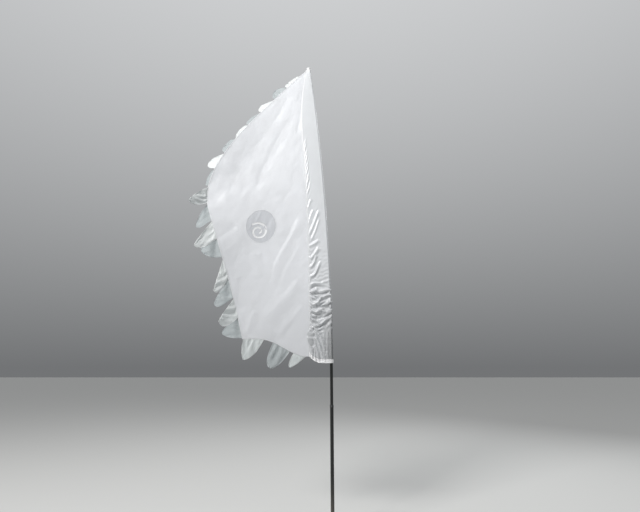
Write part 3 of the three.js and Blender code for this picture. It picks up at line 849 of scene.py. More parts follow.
for low, high, soft, extra in SEAM_GATHERS:
    slack[..., 1, 1] += extra * window(level, low, high, soft) * np.exp(-inner / GATHER_REACH)
slack *= (1 + 0.45 * noise(inner + 3 * back, level, 0.11, 21))[..., None, None]
slack[..., 0, 0] += 0.003
slack[..., 1, 1] += 0.004
slack *= (np.clip((PLUG_TOP - level) / 0.6, 0, 1) ** 0.5)[..., None, None]
slack[..., [0, 1], [1, 0]] *= np.where(back, -1, 1)[..., None]
loose = np.where(flank >= 1, 0.05, np.clip(flank / 0.02, 0, 1))
loose = loose * np.clip((PLUG_TOP - CAP_HEIGHT - level) / 0.05, 0, 1)
loose[:, [0, -1]] = 0
loose[:5] *= 0.2
rough = noise(inner / 1.4, level + 5 * back, 0.03, 3) + 0.7 * noise(inner / 2, level + inner * 0.9, 0.045, 9)
start = np.zeros(turn.shape + (3,))
stand = np.minimum(0.006, 0.03 * np.trace(slack, axis1=-2, axis2=-1).clip(0)) * np.abs(rough)
folds = sum(height * fold_height(np.where(back, 0.20 - inner, inner), level, line, left, right)
            for line, left, right, height in SLEEVE_FOLDS)
start[..., 1] = np.where(back, 1, -1) * (stand + folds) * flank * loose
sleeve_uv = np.stack([turn * SLEEVE_CUT, level], axis=-1)
sleeve_taut = sleeve_point(turn, level)
sleeve_middle = settle_cloth(sleeve_taut, sleeve_uv, slack, loose, start, SLEEVE_LEVELS, keep_off_pole)
held = (1 - np.exp(-inner / 0.010)) * np.clip(4 * (1 - flank), 0, 1)
bulge = np.sin(np.pi * np.clip(inner / BULGE_REACH, 0, 1)) * window(level, *BULGE_WINDOW)
bulge *= np.where(back, 0.4, 1)
pleats = np.abs(noise(turn * SLEEVE_CUT + 0.2 * level, level, 0.022, 43)) * np.exp(-(level - mouth) / 0.05)
outward = (MOUTH_FLARE * np.exp(-(level - mouth) / 0.020) + MOUTH_PLEATS * pleats + 0.8 * folds) * held
outward += 0.3 * SEAM_BULGE * bulge
sleeve_middle -= normals_of(sleeve_taut) * outward[..., None]
sleeve_middle[..., 0] -= SEAM_BULGE * bulge
sleeve = sheet_piece("sleeve_cloth", sleeve_middle, CLOTH_THICKNESS, sleeve_uv)
sleeve.data.materials.append(sleeve_nylon)
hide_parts("pole_sleeve")
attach(sleeve, "flag_on_mast")

# Sail panel: a half leaf of the same white nylon, cut with a curved trailing edge and
# sewn to the sleeve along its straight one. The wind fills it and soft folds cross it.
PANEL_SPAN = 1.2
BELLY = 0.075
BELLY_SPAN = 1.33
FLUTTER = 0.048
FLUTTER_PITCH = 1.5
FLUTTER_RAKE = 0.4
EDGE_PLACES = 76
CORNER_PLACE = 12
PANEL_ROWS = 496
PANEL_COLUMNS = 101
EGG_CENTRE = np.array([-0.788, 3.018])
EGG_HALF = np.array([0.172, 0.196])
EGG_SKEW = 0.1
EGG_LEAN = 0.9
BOTTOM_CURVE = np.array([[-0.252, 1.600], [-0.573, 1.673], [-0.540, 1.817], [-0.930, 1.785]])
TRAILING_CURVE = np.array([[-0.930, 1.785], [-1.210, 2.835], [-1.362, 3.141], [-1.400, 3.332],
                           [-1.496, 3.809], [-0.925, 4.435], [-0.290, 5.020]])

# Each fold of the panel: its line of points in X and Z, its widths on the left and on the right of that
# line, and how far its crest stands forward
PANEL_FOLDS = [
    ([(-0.455, 4.43), (-0.60, 4.16), (-0.70, 3.93), (-0.80, 3.70), (-0.86, 3.46)], 0.034, 0.100, -0.0045),
    ([(-0.49, 4.70), (-0.58, 4.53), (-0.66, 4.36)], 0.022, 0.060, -0.0036),
    ([(-0.27, 4.93), (-0.31, 4.76), (-0.34, 4.58)], 0.014, 0.035, -0.0040),
    ([(-0.32, 4.62), (-0.35, 4.40), (-0.39, 4.15)], 0.016, 0.045, -0.0034),
    ([(-0.33, 3.15), (-0.42, 2.92), (-0.53, 2.72), (-0.60, 2.56), (-0.62, 2.36)], 0.026, 0.070, 0.0042),
    ([(-0.37, 3.16), (-0.47, 2.91), (-0.58, 2.71), (-0.66, 2.50)], 0.060, 0.030, -0.0034),
    ([(-0.31, 2.90), (-0.38, 2.70), (-0.48, 2.52), (-0.55, 2.34)], 0.025, 0.060, 0.0035),
    ([(-0.33, 2.42), (-0.47, 2.24), (-0.60, 2.10), (-0.70, 1.96)], 0.050, 0.090, 0.0080),
    ([(-0.29, 2.14), (-0.42, 1.98), (-0.56, 1.80)], 0.060, 0.040, 0.0055),
    ([(-0.80, 2.10), (-0.86, 1.96), (-0.90, 1.82)], 0.030, 0.050, 0.0050),
    ([(-1.00, 2.46), (-1.00, 2.26), (-0.97, 2.06)], 0.035, 0.060, -0.0050),
    ([(-1.05, 3.05), (-1.16, 2.95), (-1.28, 2.86)], 0.050, 0.035, -0.0060),
    ([(-0.98, 2.76), (-0.86, 2.72), (-0.76, 2.70)], 0.030, 0.040, 0.0030),
    ([(-0.86, 2.74), (-0.80, 2.60), (-0.79, 2.42)], 0.080, 0.050, 0.0040),
    ([(-1.12, 3.82), (-1.18, 3.58), (-1.20, 3.34)], 0.090, 0.060, 0.0025),
    ([(-0.62, 3.40), (-0.56, 3.15), (-0.52, 2.90)], 0.100, 0.060, 0.0040),
]


def cloth_depth(x, z):
    """How far the cloth stands back from the plane Y = 0.

    Belly * sin(pi * d / span) - flutter * q^2 * sin(2 pi (z / pitch + rake * q)), where d is the distance
    from the seam and q = d / PANEL_SPAN, less the folds, three sets of long soft waves, a wave along the free
    edge and creases beside the seam. All of it is 0 at the seam.
    """
    away = np.maximum(0, seam_x(z) - x)
    q = away / PANEL_SPAN
    depth = BELLY * np.sin(np.pi * np.minimum(1, away / BELLY_SPAN))
    depth -= FLUTTER * q * q * np.sin(2 * np.pi * (z / FLUTTER_PITCH + FLUTTER_RAKE * q))
    relief = np.zeros_like(depth)
    for line, left, right, height in PANEL_FOLDS:
        relief += height * fold_height(x, z, line, left, right)
    across, along = x * 0.85 - z * 0.53, x * 0.53 + z * 0.85
    relief += 0.0035 * noise(across, along * 0.25, 0.16, 5)
    relief += 0.0016 * noise(across, along * 0.35, 0.06, 6)
    relief += 0.0004 * noise(across, along * 0.5, 0.025, 7)
    edge_wave = 0.010 * q ** 3 * noise(x, z, 0.13, 8)
    near_seam = 0.003 * (creases(away, z, math.radians(-50), 0.10, 0.030, 31) - 0.4) * np.exp(-away / 0.05)
    return depth - (relief + edge_wave + near_seam) * (1 - np.exp(-away / 0.03))


def on_cloth(flat, forward=0):
    """The points of the cloth over flat points in X and Z, moved forward."""
    x, z = flat[..., 0], flat[..., 1]
    return np.stack([x, cloth_depth(x, z) - forward, z], axis=-1)


def curve_at(control, share):
    """Point at a share of the length of a chain of cubic curves, measured along 400 short steps of each."""
    t = np.linspace(0, 1, 401)[:, None]
    chain = (control[k:k + 4] for k in range(0, len(control) - 1, 3))
    fine = np.concatenate([(1 - t) ** 3 * a + 3 * (1 - t) ** 2 * t * b + 3 * (1 - t) * t * t * c + t ** 3 * d
                           for a, b, c, d in chain])
    length = np.concatenate([[0], np.cumsum(np.linalg.norm(np.diff(fine, axis=0), axis=1))])
    return np.stack([np.interp(share * length[-1], length, fine[:, k]) for k in (0, 1)], axis=-1)


def edge_at(place):
    """The panel's free edge: places 0 to 12 run along the bottom to the corner, 12 to 76 up to the tip."""
    low = curve_at(BOTTOM_CURVE, np.clip(place / CORNER_PLACE, 0, 1))
    high = curve_at(TRAILING_CURVE, np.clip((place - CORNER_PLACE) / (EDGE_PLACES - CORNER_PLACE), 0, 1))
    return np.where(np.asarray(place)[..., None] < CORNER_PLACE, low, high)


def egg_swell(angle):
    """How much the egg stands out past its ellipse, more towards its lean."""
    return 1 + EGG_SKEW * np.cos(angle - EGG_LEAN)


def panel_grid():
    """Rows fan from the seam to the free edge, and the grid is drawn aside round the roundel.

    Inside a block of the grid's cells, a cell at square distance s from its middle lies at s times the
    egg's radius, and out to 2.2 s that blends into the plain fan; the block itself is the hole.
    """
    place = np.linspace(0.12, EDGE_PLACES, PANEL_ROWS)
    seam_z = SEAM_FOOT + (SEAM_TOP - SEAM_FOOT) * place / EDGE_PLACES
    seam = np.stack([seam_x(seam_z) - SEAT_GAP, seam_z], axis=-1)
    edge = edge_at(place)
    u = np.linspace(0, 1, PANEL_COLUMNS)[None, :, None]
    flat = seam[:, None] * (1 - u) + edge[:, None] * u
    scaled = (flat - EGG_CENTRE) / EGG_HALF
    angle, reach = np.arctan2(scaled[..., 1], scaled[..., 0]), np.hypot(scaled[..., 0], scaled[..., 1])
    rows, columns = np.nonzero(reach < egg_swell(angle))
    middle = np.array([(rows.min() + rows.max()) // 2, (columns.min() + columns.max()) // 2])
    half = np.array([int(0.40 * (rows.max() - rows.min())), int(0.40 * (columns.max() - columns.min()))])
    row, column = np.meshgrid(np.arange(PANEL_ROWS), np.arange(PANEL_COLUMNS), indexing="ij")
    p, q = (row - middle[0]) / half[0], (column - middle[1]) / half[1]
    square = np.maximum(np.abs(p), np.abs(q))
    blend = smooth(np.clip((square - 1) / 1.2, 0, 1))
    target = square * egg_swell(angle) * (1 - blend) + reach * blend
    moved = EGG_CENTRE + EGG_HALF * ray_at(angle) * target[..., None]
    flat = np.where((square < 2.2)[..., None], moved, flat)
    centre_square = (square[:-1, :-1] + square[1:, 1:] + square[1:, :-1] + square[:-1, 1:]) / 4
    return flat, centre_square > 1


panel_flat, panel_keep = panel_grid()
panel = sheet_piece("panel_cloth", on_cloth(panel_flat), CLOTH_THICKNESS, panel_flat, panel_keep)
panel.data.materials.append(white_nylon)
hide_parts("flag_panel")
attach(panel, "flag_on_mast")

# Sewn bands of the flag: the seam between panel and sleeve, the band that binds the free edge
# and the petals' roots, the doubled mouth of the sleeve and the cap over its closed end.
SEAM_LEFT = 0.010
SEAM_RIGHT = 0.007
STITCH_LENGTH = 0.0032
THREAD_WIDTH = 0.0007
BINDING_IN = 0.008
BINDING_OUT = 0.005
BINDING_HALF = 0.0011
MOUTH_ROWS = 11
MOUTH_COLUMNS = 180
MOUTH_WHITE = (0.90, 0.90, 0.91, 1)
MOUTH_THICKNESS = 0.0022
CAP_THICKNESS = 0.0018
CAP_LIFT = 0.0012
CAP_RIDGE = 0.007


def stitch_rows(*places):
    """A mask of running stitches: dashes along the second map direction at each place across the first."""
    def mask(tree, cut):
        """1 on the thread and 0 beside it."""
        where = axes_of(tree, cut)
        dash = math_node(tree, "FRACT", math_node(tree, "DIVIDE", where["Y"], STITCH_LENGTH))
        dash = math_node(tree, "LESS_THAN", dash, 0.72)
        lines = None
        for place in places:
            off = math_node(tree, "ABSOLUTE", difference(tree, where["X"], place))
            line = math_node(tree, "LESS_THAN", off, THREAD_WIDTH / 2)
            lines = line if lines is None else math_node(tree, "MAXIMUM", lines, line)
        return product(tree, lines, dash)
    return mask


def band_piece(name, path, side, up, profile, closed=False, scale=None):
    """A closed profile carried along a path: point = path + side * across * scale + up * thickness.

    The ends are drawn together, and the UV map holds the place across and the length along, in metres.
    """
    scale = np.ones(len(path)) if scale is None else scale
    aside = side[:, None] * profile[None, :, :1] * scale[:, None, None]
    rows = path[:, None] + aside + up[:, None] * profile[None, :, 1:]
    step = np.linalg.norm(np.diff(path, axis=0), axis=1)
    along = np.concatenate([[0], np.cumsum(step)])
    across = np.broadcast_to(profile[:, 0], rows.shape[:2])
    if not closed:
        rows = drawn_together(rows)
        along = np.concatenate([along[:1], along, along[-1:]])
        across = np.concatenate([across[:1], across, across[-1:]])
    uv = np.stack([across, np.broadcast_to(along[:, None], across.shape)], axis=-1)
    quads = grid_quads(*rows.shape[:2], closed_rows=closed, closed_columns=True)
    return make_piece(name, rows.reshape(-1, 3), quads, uv.reshape(-1, 2), weld=not closed, crease=60)


def flat_profile(low, high, half, lip=0.0004):
    """Cross-section of a flat band from low to high across, half thick each way, with softened edges."""
    top = [(low, 0), (low + lip, 0.7 * half), (low + 3 * lip, half),
           (high - 3 * lip, half), (high - lip, 0.7 * half), (high, 0)]
    return np.array(top + [(a, -b) for a, b in top[-2:0:-1]])


def surface_frame(flat, direction):
    """Over flat points: the point on the cloth, a flat direction laid on the cloth, and its normal."""
    x, z = flat[:, 0], flat[:, 1]
    e = 0.002
    dx = (cloth_depth(x + e, z) - cloth_depth(x - e, z)) / (2 * e)
    dz = (cloth_depth(x, z + e) - cloth_depth(x, z - e)) / (2 * e)
    side = np.stack([direction[:, 0], dx * direction[:, 0] + dz * direction[:, 1], direction[:, 1]], axis=-1)
    up = np.stack([dx, -np.ones_like(dx), dz], axis=-1)
    return on_cloth(flat), unit(side), unit(up)


binding_nylon = cloth_material("binding_nylon", WHITE, WHITE_THROUGH, 0.30, 0.0, RIPSTOP_PITCH, 0.3,
                               stitches=stitch_rows(0.0055, -0.0025))
seam_nylon = cloth_material("seam_nylon", WHITE, WHITE_THROUGH, 0.25, 0.0, RIPSTOP_PITCH, 0.6,
                            stitches=stitch_rows(-0.0075, -0.0015))

# Free edge binding
edge_place = np.linspace(0.12, EDGE_PLACES, 640)
edge_flat = edge_at(edge_place)
run = unit(np.gradient(edge_flat, axis=0))
inward = np.stack([run[:, 1], -run[:, 0]], axis=-1)
path, side, up = surface_frame(edge_flat, inward)
edge_binding = band_piece("edge_binding", path, side, up,
                          flat_profile(-BINDING_OUT, BINDING_IN, BINDING_HALF))
edge_binding.data.materials.append(binding_nylon)
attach(edge_binding, "flag_on_mast")

# Seam between panel and sleeve: thickness grows from the single panel to the doubled sleeve
seam_z = np.linspace(SEAM_FOOT + 0.001, SEAM_TOP + 0.02, 620)
across = np.array([-SEAM_LEFT, -SEAM_LEFT + 0.001, -0.004, 0.0, 0.004, SEAM_RIGHT])
half = np.array([0.0002, 0.0011, 0.0014, 0.0021, 0.0032, 0.0036])
loop_across = np.concatenate([across, across[::-1]])
loop_half = np.concatenate([half, -half[::-1]])
seam_points_x = seam_x(seam_z)[:, None] + loop_across
seam_points_y = cloth_depth(seam_points_x, seam_z[:, None]) - loop_half
seam_points = np.stack([seam_points_x, seam_points_y, seam_z[:, None] + 0 * seam_points_x], axis=-1)
seam_points = drawn_together(seam_points)
seam_uv = np.stack([np.broadcast_to(loop_across, seam_points.shape[:2]), seam_points[..., 2]], axis=-1)
seam_quads = grid_quads(*seam_points.shape[:2], closed_columns=True)
felled_seam = make_piece("felled_seam", seam_points.reshape(-1, 3), seam_quads, seam_uv.reshape(-1, 2),
                         weld=True, crease=60)
felled_seam.data.materials.append(seam_nylon)
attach(felled_seam, "flag_on_mast")

# Mouth band of the sleeve, on its settled cloth
mouth_middle = resized(sleeve_middle[:MOUTH_ROWS], 2 * MOUTH_ROWS, MOUTH_COLUMNS)
mouth_middle[0, :, 2] -= 0.001
mouth_uv = np.stack([level - mouth, turn * SLEEVE_CUT], axis=-1)[:MOUTH_ROWS]
mouth_uv = resized(mouth_uv, 2 * MOUTH_ROWS, MOUTH_COLUMNS)
mouth_nylon = cloth_material("mouth_nylon", MOUTH_WHITE, WHITE_THROUGH, 0.15, 0.0, RIPSTOP_PITCH, 6.0,
                             painted_shade=0.0, stitches=stitch_rows(0.027, 0.003))
mouth_band = sheet_piece("mouth_band", mouth_middle, MOUTH_THICKNESS, mouth_uv, crease=60)
mouth_band.data.materials.append(mouth_nylon)
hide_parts("sleeve_hem")
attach(mouth_band, "flag_on_mast")

# Cap over the sleeve's closed end: a doubled hood that closes in a ridge above the plug
cap_rise = np.linspace(0, 1, 26)[:, None]
cap_turn = np.linspace(0, 1, 72)[None, :]
cap_z = PLUG_TOP - CAP_HEIGHT + (CAP_HEIGHT + CAP_RIDGE) * cap_rise
close = np.sqrt(np.clip(1 - ((cap_rise - 0.80) / 0.20).clip(0) ** 2, 0, 1))
cap_skin = sleeve_point(cap_turn + 0 * cap_rise, np.minimum(cap_z, PLUG_TOP) + 0 * cap_turn, lift=CAP_LIFT)
cap_skin[..., 1] *= close
cap_skin[..., 2] = cap_z
cap_middle_x = cap_skin[..., 0].mean(1, keepdims=True)
cap_skin[..., 0] = cap_middle_x + (cap_skin[..., 0] - cap_middle_x) * (0.86 + 0.14 * close)
cap_uv = np.stack([cap_z - PLUG_TOP + CAP_HEIGHT + 0 * cap_turn, cap_turn * 0.12 + 0 * cap_z], axis=-1)
top_cap = sheet_piece("top_cap", cap_skin, CAP_THICKNESS, cap_uv, crease=60)
top_cap.data.materials.append(mouth_nylon)
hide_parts("sleeve_cap")
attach(top_cap, "flag_on_mast")

# Roundel: an egg of sheer organza let into the panel behind a narrow bound rim, with a
# plain spiral of white tape sewn on its face.
ORGANZA = (0.72, 0.73, 0.76, 1)
ORGANZA_THROUGH = (0.78, 0.80, 0.83, 1)
ORGANZA_THICKNESS = 0.0004
ORGANZA_PITCH = 0.0024
RIM_OUT = 0.006
RIM_IN = 0.005
RIM_HALF = 0.0010
TAPE_WHITE = (0.86, 0.87, 0.88, 1)
SPIRAL_CENTRE = np.array([-0.807, 2.972])
SPIRAL_TURNS = 1.6
SPIRAL_START = -1.41
SPIRAL_INNER = 0.020
SPIRAL_OUTER = 0.104
SPIRAL_WIDTH = 0.016
SPIRAL_END_WIDTH = 0.028
SPIRAL_LIFT = 0.0014

tape_nylon = cloth_material("tape_nylon", TAPE_WHITE, WHITE_THROUGH, 0.16, 0.0, RIPSTOP_PITCH, 0.3,
                            painted_shade=0.0, stitches=stitch_rows(-0.0115, 0.0115))
organza = cloth_material("organza", ORGANZA, ORGANZA_THROUGH, 0.45, 0.40, ORGANZA_PITCH, 0.5, gloss=0.30)
grid = np.linspace(-1, 1, 49)
p, q = np.meshgrid(grid, grid, indexing="ij")
square, plain = np.maximum(np.abs(p), np.abs(q)), np.maximum(np.hypot(p, q), 1e-9)
egg_angle = np.arctan2(q, p)
disc = np.stack([p, q], axis=-1) * (square / plain * egg_swell(egg_angle) * 0.998)[..., None]
disc_flat = EGG_CENTRE + EGG_HALF * disc
disc_creases = creases(disc_flat[..., 0], disc_flat[..., 1], math.radians(70), 0.12, 0.05, 71)
disc_relief = 0.004 * (disc_creases - 0.4) * (1 - square ** 4)
roundel = sheet_piece("roundel_organza", on_cloth(disc_flat, disc_relief), ORGANZA_THICKNESS, disc_flat)
roundel.data.materials.append(organza)
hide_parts("roundel_sheer")
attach(roundel, "flag_on_mast")

rim_angle = np.linspace(0, 2 * np.pi, 220, endpoint=False)
rim_flat = EGG_CENTRE + EGG_HALF * ray_at(rim_angle) * egg_swell(rim_angle)[:, None]
run = unit(np.roll(rim_flat, -1, axis=0) - np.roll(rim_flat, 1, axis=0))
path, side, up = surface_frame(rim_flat, np.stack([run[:, 1], -run[:, 0]], axis=-1))
roundel_rim = band_piece("roundel_rim", path, side, up, flat_profile(-RIM_OUT, RIM_IN, RIM_HALF), closed=True)
roundel_rim.data.materials.append(binding_nylon)
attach(roundel_rim, "flag_on_mast")

t = np.linspace(0, 1, 200)
spiral_angle = 2 * np.pi * SPIRAL_TURNS * t + SPIRAL_START
spiral_radius = SPIRAL_INNER + (SPIRAL_OUTER - SPIRAL_INNER) * t
ray = ray_at(spiral_angle)
path, side, up = surface_frame(SPIRAL_CENTRE + ray * spiral_radius[:, None], ray)
round_ends = np.sqrt(np.clip(1 - (np.clip(np.maximum(0.03 - t, t - 0.97), 0, 1) / 0.03) ** 2, 0.02, 1))
half_width = SPIRAL_END_WIDTH / 2
tape_edge = [(0, 0), (0.0006, 0.0012), (0.0022, 0.0012), (0.0028, 0.0006)]
spiral_profile = np.array([(off - half_width, lift) for off, lift in tape_edge]
                          + [(half_width - off, lift) for off, lift in tape_edge[::-1]]
                          + [(half_width - 0.0006, -0.0008), (0.0006 - half_width, -0.0008)])
widening = (SPIRAL_WIDTH + (SPIRAL_END_WIDTH - SPIRAL_WIDTH) * t) / SPIRAL_END_WIDTH
spiral_tape = band_piece("spiral_tape", path + up * SPIRAL_LIFT, side, up, spiral_profile,
                         scale=round_ends * widening)
spiral_tape.data.materials.append(tape_nylon)
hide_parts("roundel_spiral")
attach(spiral_tape, "flag_on_mast")

# Petals: nineteen leaf-shaped tabs sewn along the free edge, of white nylon and of sheer organza
# in turn. Each has a narrow folded hem, and the wind swings and curls each one differently.
BOTTOM_BASES = [(0.2, 2.4), (3.15, 6.45), (8.2, 11.85)]
BOTTOM_PETALS = 3
LEECH_PETALS = 16
PETAL_PITCH = 3.91
PETAL_INSET = 0.16
PETAL_LENGTH = 0.300
TOP_PETAL_LENGTH = 0.160
PETAL_TIP = 0.006
PETAL_ROWS, PETAL_COLUMNS = 46, 35
PETAL_LEVELS = [(16, 12, 24, 0.20), (PETAL_ROWS, PETAL_COLUMNS, 12, 0.12)]
PETAL_HEM = 0.008
HEM_OUT = 0.0004
HEM_HALF = 0.0009
PETAL_THICKNESS = 0.0006
SHEER_PETAL = (0.63, 0.67, 0.68, 1)
# Painted light: the white petals are of the panel's white nylon, but their colours are set lighter than WHITE
# and WHITE_THROUGH so that petals turned away from the lamp still look as bright as the panel.
PAINTED_LIGHT_PETAL_WHITE = (0.88, 0.90, 0.90, 1)
PAINTED_LIGHT_PETAL_THROUGH = (0.90, 0.93, 0.93, 1)

# How the wind holds each petal, in degrees, from the pole round the corner to the tip: its lean along
# the edge line, the swing of its root out of the cloth, and its curl from there to its tip
PETAL_POSES = [
    (25, 40, 30), (-3, -19, -35), (29, 21, 25), (7, 28, 20), (-39, -30, -30), (-20, 19, 20), (-52, -5, -25),
    (21, 24, 20), (-31, -2, -20), (-16, 25, 25), (-45, -31, -20), (10, 54, 15), (-7, 41, 12), (2, 46, 20),
    (33, 42, 15), (4, 43, 15), (5, 37, 12), (14, 23, 20), (-5, 37, 15),
]

# How round each petal's two sides are, the first side first: 0 is straight and 1 is a full leaf
PETAL_SIDES = [
    (0, 0.2), (0.5, 0.8), (1, 0), (0.4, 0.2), (1, 0.3), (0.9, 0.1), (0.9, 0.1), (1, 0.8), (0.9, 0.1),
    (0.8, 0.2), (0.6, 1), (0.6, 0.6), (1, 0.1), (0.4, 1), (0.8, 0.4), (0.8, 0.3), (0.9, 0.1), (0.7, 0.4),
    (0.8, 0.6),
]

petal_nylon = cloth_material("petal_nylon", PAINTED_LIGHT_PETAL_WHITE, PAINTED_LIGHT_PETAL_THROUGH, 0.45, 0.06, RIPSTOP_PITCH, 2.5,
                             gloss=0.30, painted_shade=0.0)
sheer_petal = cloth_material("sheer_petal", SHEER_PETAL, SHEER_PETAL, 0.55, 0.40, ORGANZA_PITCH, 0.6,
                             gloss=0.26)
hem_stitches = stitch_rows(0.0062)
sheer_hem = cloth_material("sheer_hem", SHEER_PETAL, SHEER_PETAL, 0.35, 0.15, ORGANZA_PITCH, 0.3,
                           stitches=hem_stitches)
petal_hem = cloth_material("petal_hem", PAINTED_LIGHT_PETAL_WHITE, PAINTED_LIGHT_PETAL_THROUGH, 0.30, 0.0, RIPSTOP_PITCH, 0.3,
                           painted_shade=0.0, stitches=hem_stitches)


def petal_surface(i):
    """Middle surface of petal i and its flat pattern.

    A row at height h is the root's own edge line narrowed to (1 - h^2.6)^0.6 on a round side and to
    (1 - h^1.15)^0.9 on a straight one, carried out along an arc that starts at the swing and turns by the
    curl, and leaned along the edge. The cloth is fluted lengthwise and a little slack, so it crumples.
    """
    if i < BOTTOM_PETALS:
        low, high = BOTTOM_BASES[i]
    else:
        low = CORNER_PLACE + (i - BOTTOM_PETALS) * PETAL_PITCH + PETAL_INSET
        high = low + PETAL_PITCH - 2 * PETAL_INSET
    middle = edge_at(np.array((low + high) / 2))
    ends = edge_at(np.array([low, high]))
    along = ends[1] - ends[0]
    half_width = np.linalg.norm(along) / 2
    along = along / (2 * half_width)
    outward = np.array([-along[1], along[0]])
    height = max(0, i - BOTTOM_PETALS) / (LEECH_PETALS - 1)
    length = PETAL_LENGTH + (TOP_PETAL_LENGTH - PETAL_LENGTH) * height ** 2
    lean, swing, curl = np.radians(PETAL_POSES[i])
    first_round, second_round = PETAL_SIDES[i]
    h = np.sin(np.linspace(0, np.pi / 2, PETAL_ROWS))[:, None]
    offset = edge_at(np.linspace(low, high, PETAL_COLUMNS)) - middle
    side = (offset @ along / half_width)[None, :]
    round_side, straight_side = (1 - h ** 2.6) ** 0.6, (1 - h ** 1.15) ** 0.9
    width = straight_side + (round_side - straight_side) * np.where(side < 0, first_round, second_round)
    reach = length * (np.sin(swing + curl * h) - np.sin(swing)) / curl
    back = length * (np.cos(swing) - np.cos(swing + curl * h)) / curl
    a = side * (half_width * width + PETAL_TIP * h) + reach * np.sin(lean)
    b = SEAT_GAP + reach * np.cos(lean) + (offset @ outward)[None, :] * (1 - h) ** 2
    flat = middle + a[..., None] * along + b[..., None] * outward
    flutes = 0.007 * math.cos(3.1 * i) * np.cos(np.pi * side * 1.2 + 2.1 * i) * h * (1.3 - h)
    cup = 0.012 * math.sin(1.3 * i + 0.5) * (side ** 2 - 0.3) * h * (1.2 - h) * 2
    y = cloth_depth(flat[..., 0], flat[..., 1]) + back + flutes + cup
    pattern = np.stack([side * half_width * np.maximum(width, 0.04), length * h + 0 * side], axis=-1)
    taut = np.stack([flat[..., 0], y, flat[..., 1]], axis=-1)
    angle = np.radians(70 + 35 * math.sin(i)) + 0.5 * noise(a, b, 0.09, 100 + 7 * i)
    patch = (0.09 if i < BOTTOM_PETALS else 0.05) * (1 + noise(a + 1, b, 0.06, 101 + 7 * i))
    slack = across_creases(angle, patch[..., None, None], 0.01)
    loose = np.ones(h.shape) * np.ones(side.shape)
    loose[:, [0, -1]] = loose[-1] = 0.05
    loose[0] = 0
    start = normals_of(taut) * (0.006 * loose * noise(a, b * 0.6, 0.045, 102 + 7 * i))[..., None]
    return settle_cloth(taut, pattern, slack, loose, start, PETAL_LEVELS), pattern, 2 * half_width, length


def outline_of(grid_array):
    """The free outline of a grid: up its first column, along its last row and down its last column."""
    return np.concatenate([grid_array[:, 0], grid_array[-1, 1:-1], grid_array[::-1, -1]])


for i in range(BOTTOM_PETALS + LEECH_PETALS):
    sheer = i % 2 == 1
    surface, pattern, petal_width, petal_length = petal_surface(i)
    name = f"petal_{i + 1:02d}"
    petal = sheet_piece(f"{name}_cloth", surface, ORGANZA_THICKNESS if sheer else PETAL_THICKNESS, pattern)
    petal.data.materials.append(sheer_petal if sheer else petal_nylon)
    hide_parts(name)
    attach(petal, "flag_on_mast")
    path = outline_of(surface)
    up = outline_of(normals_of(surface))
    side = np.cross(up, unit(np.gradient(path, axis=0)))
    side *= np.sign(((surface.mean((0, 1)) - path) * side).sum(1).mean())
    room = np.linalg.norm(surface[:, 0] - surface[:, -1], axis=1) / 2
    room = outline_of(np.broadcast_to(room[:, None], surface.shape[:2]))
    hem = band_piece(f"{name}_hem", path, side, up, flat_profile(-HEM_OUT, PETAL_HEM, HEM_HALF),
                     scale=np.clip(room / (PETAL_HEM * 1.2), 0.12, 1))
    hem.data.materials.append(sheer_hem if sheer else petal_hem)
    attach(hem, "flag_on_mast")
    cells = np.cross(np.diff(surface, axis=0)[:, :-1], np.diff(surface, axis=1)[:-1])

# Studio: a wide pale floor under an even pale sky, one large soft lamp high on the left
# and a weaker one behind, which lights the cloth through. The camera stands where the photographer did.
FLOOR_HALF = 60
FLOOR_COLOUR = (0.50, 0.50, 0.49, 1)
CAMERA_PLACE = (-0.137, -4.4, 1.5)
CAMERA_PITCH = 14.8
LENS = 23.51
CENTRE_SHIFT = (2 / 640, 0.5 / 640)
SKY_STOPS = ((0.0, (0.17, 0.175, 0.18, 1)), (0.75, (0.62, 0.63, 0.64, 1)))

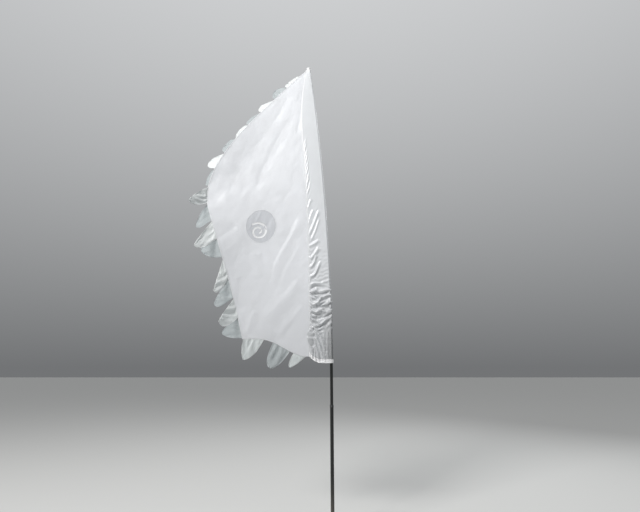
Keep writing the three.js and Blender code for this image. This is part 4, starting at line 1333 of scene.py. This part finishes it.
corner = FLOOR_HALF * np.array([[-1, -1, 0], [1, -1, 0], [1, 1, 0], [-1, 1, 0]])
floor_mesh = bpy.data.meshes.new("floor")
floor_mesh.from_pydata(corner, [], [[0, 1, 2, 3]])
floor = new_object("floor", floor_mesh)
floor_finish, tree, output = new_material("floor_finish")
shader = add_node(tree, "BsdfPrincipled", Base_Color=FLOOR_COLOUR, Roughness=0.9, Specular_IOR_Level=0.2)
tree.links.new(shader.outputs[0], output.inputs["Surface"])
floor.data.materials.append(floor_finish)

world = bpy.data.worlds.new("studio")
bpy.context.scene.world = world
world.use_nodes = True
tree = world.node_tree
background = tree.nodes["Background"]
sky_height = axes_of(tree, add_node(tree, "TexCoord").outputs["Generated"])["Z"]
ramp = add_node(tree, "ValToRGB")
for stop, (position, colour) in zip(ramp.color_ramp.elements, SKY_STOPS):
    stop.position = position
    stop.color = colour
tree.links.new(sky_height, ramp.inputs[0])
tree.links.new(ramp.outputs[0], background.inputs["Color"])
background.inputs["Strength"].default_value = 1.0


def soft_lamp(name, place, aim, size, power, colour):
    """A square area lamp at a place, turned to face a point."""
    data = bpy.data.lights.new(name, "AREA")
    data.shape = "SQUARE"
    data.size = size
    data.energy = power
    data.color = colour
    lamp = new_object(name, data)
    lamp.location = place
    away = np.array(place, float) - np.array(aim, float)
    pitch = math.atan2(math.hypot(away[0], away[1]), away[2])
    lamp.rotation_euler = (pitch, 0, math.atan2(away[0], -away[1]))
    return lamp


soft_lamp("key_lamp", place=(-5.1, -4.9, 8.2), aim=(-0.6, 0, 3.2), size=2.6, power=765,
          colour=(1.0, 0.99, 0.98))
soft_lamp("back_lamp", place=(4.5, 3.5, 7.0), aim=(-0.6, 0, 3.8), size=4.0, power=350,
          colour=(0.97, 0.99, 1.0))

camera_data = bpy.data.cameras.new("camera")
camera_data.lens = LENS
camera_data.sensor_width = 36
camera_data.shift_x, camera_data.shift_y = CENTRE_SHIFT
camera = new_object("camera", camera_data)
camera.location = CAMERA_PLACE
camera.rotation_euler = (math.radians(90 + CAMERA_PITCH), 0, 0)
bpy.context.scene.camera = camera
bpy.context.scene.view_settings.view_transform = "Standard"
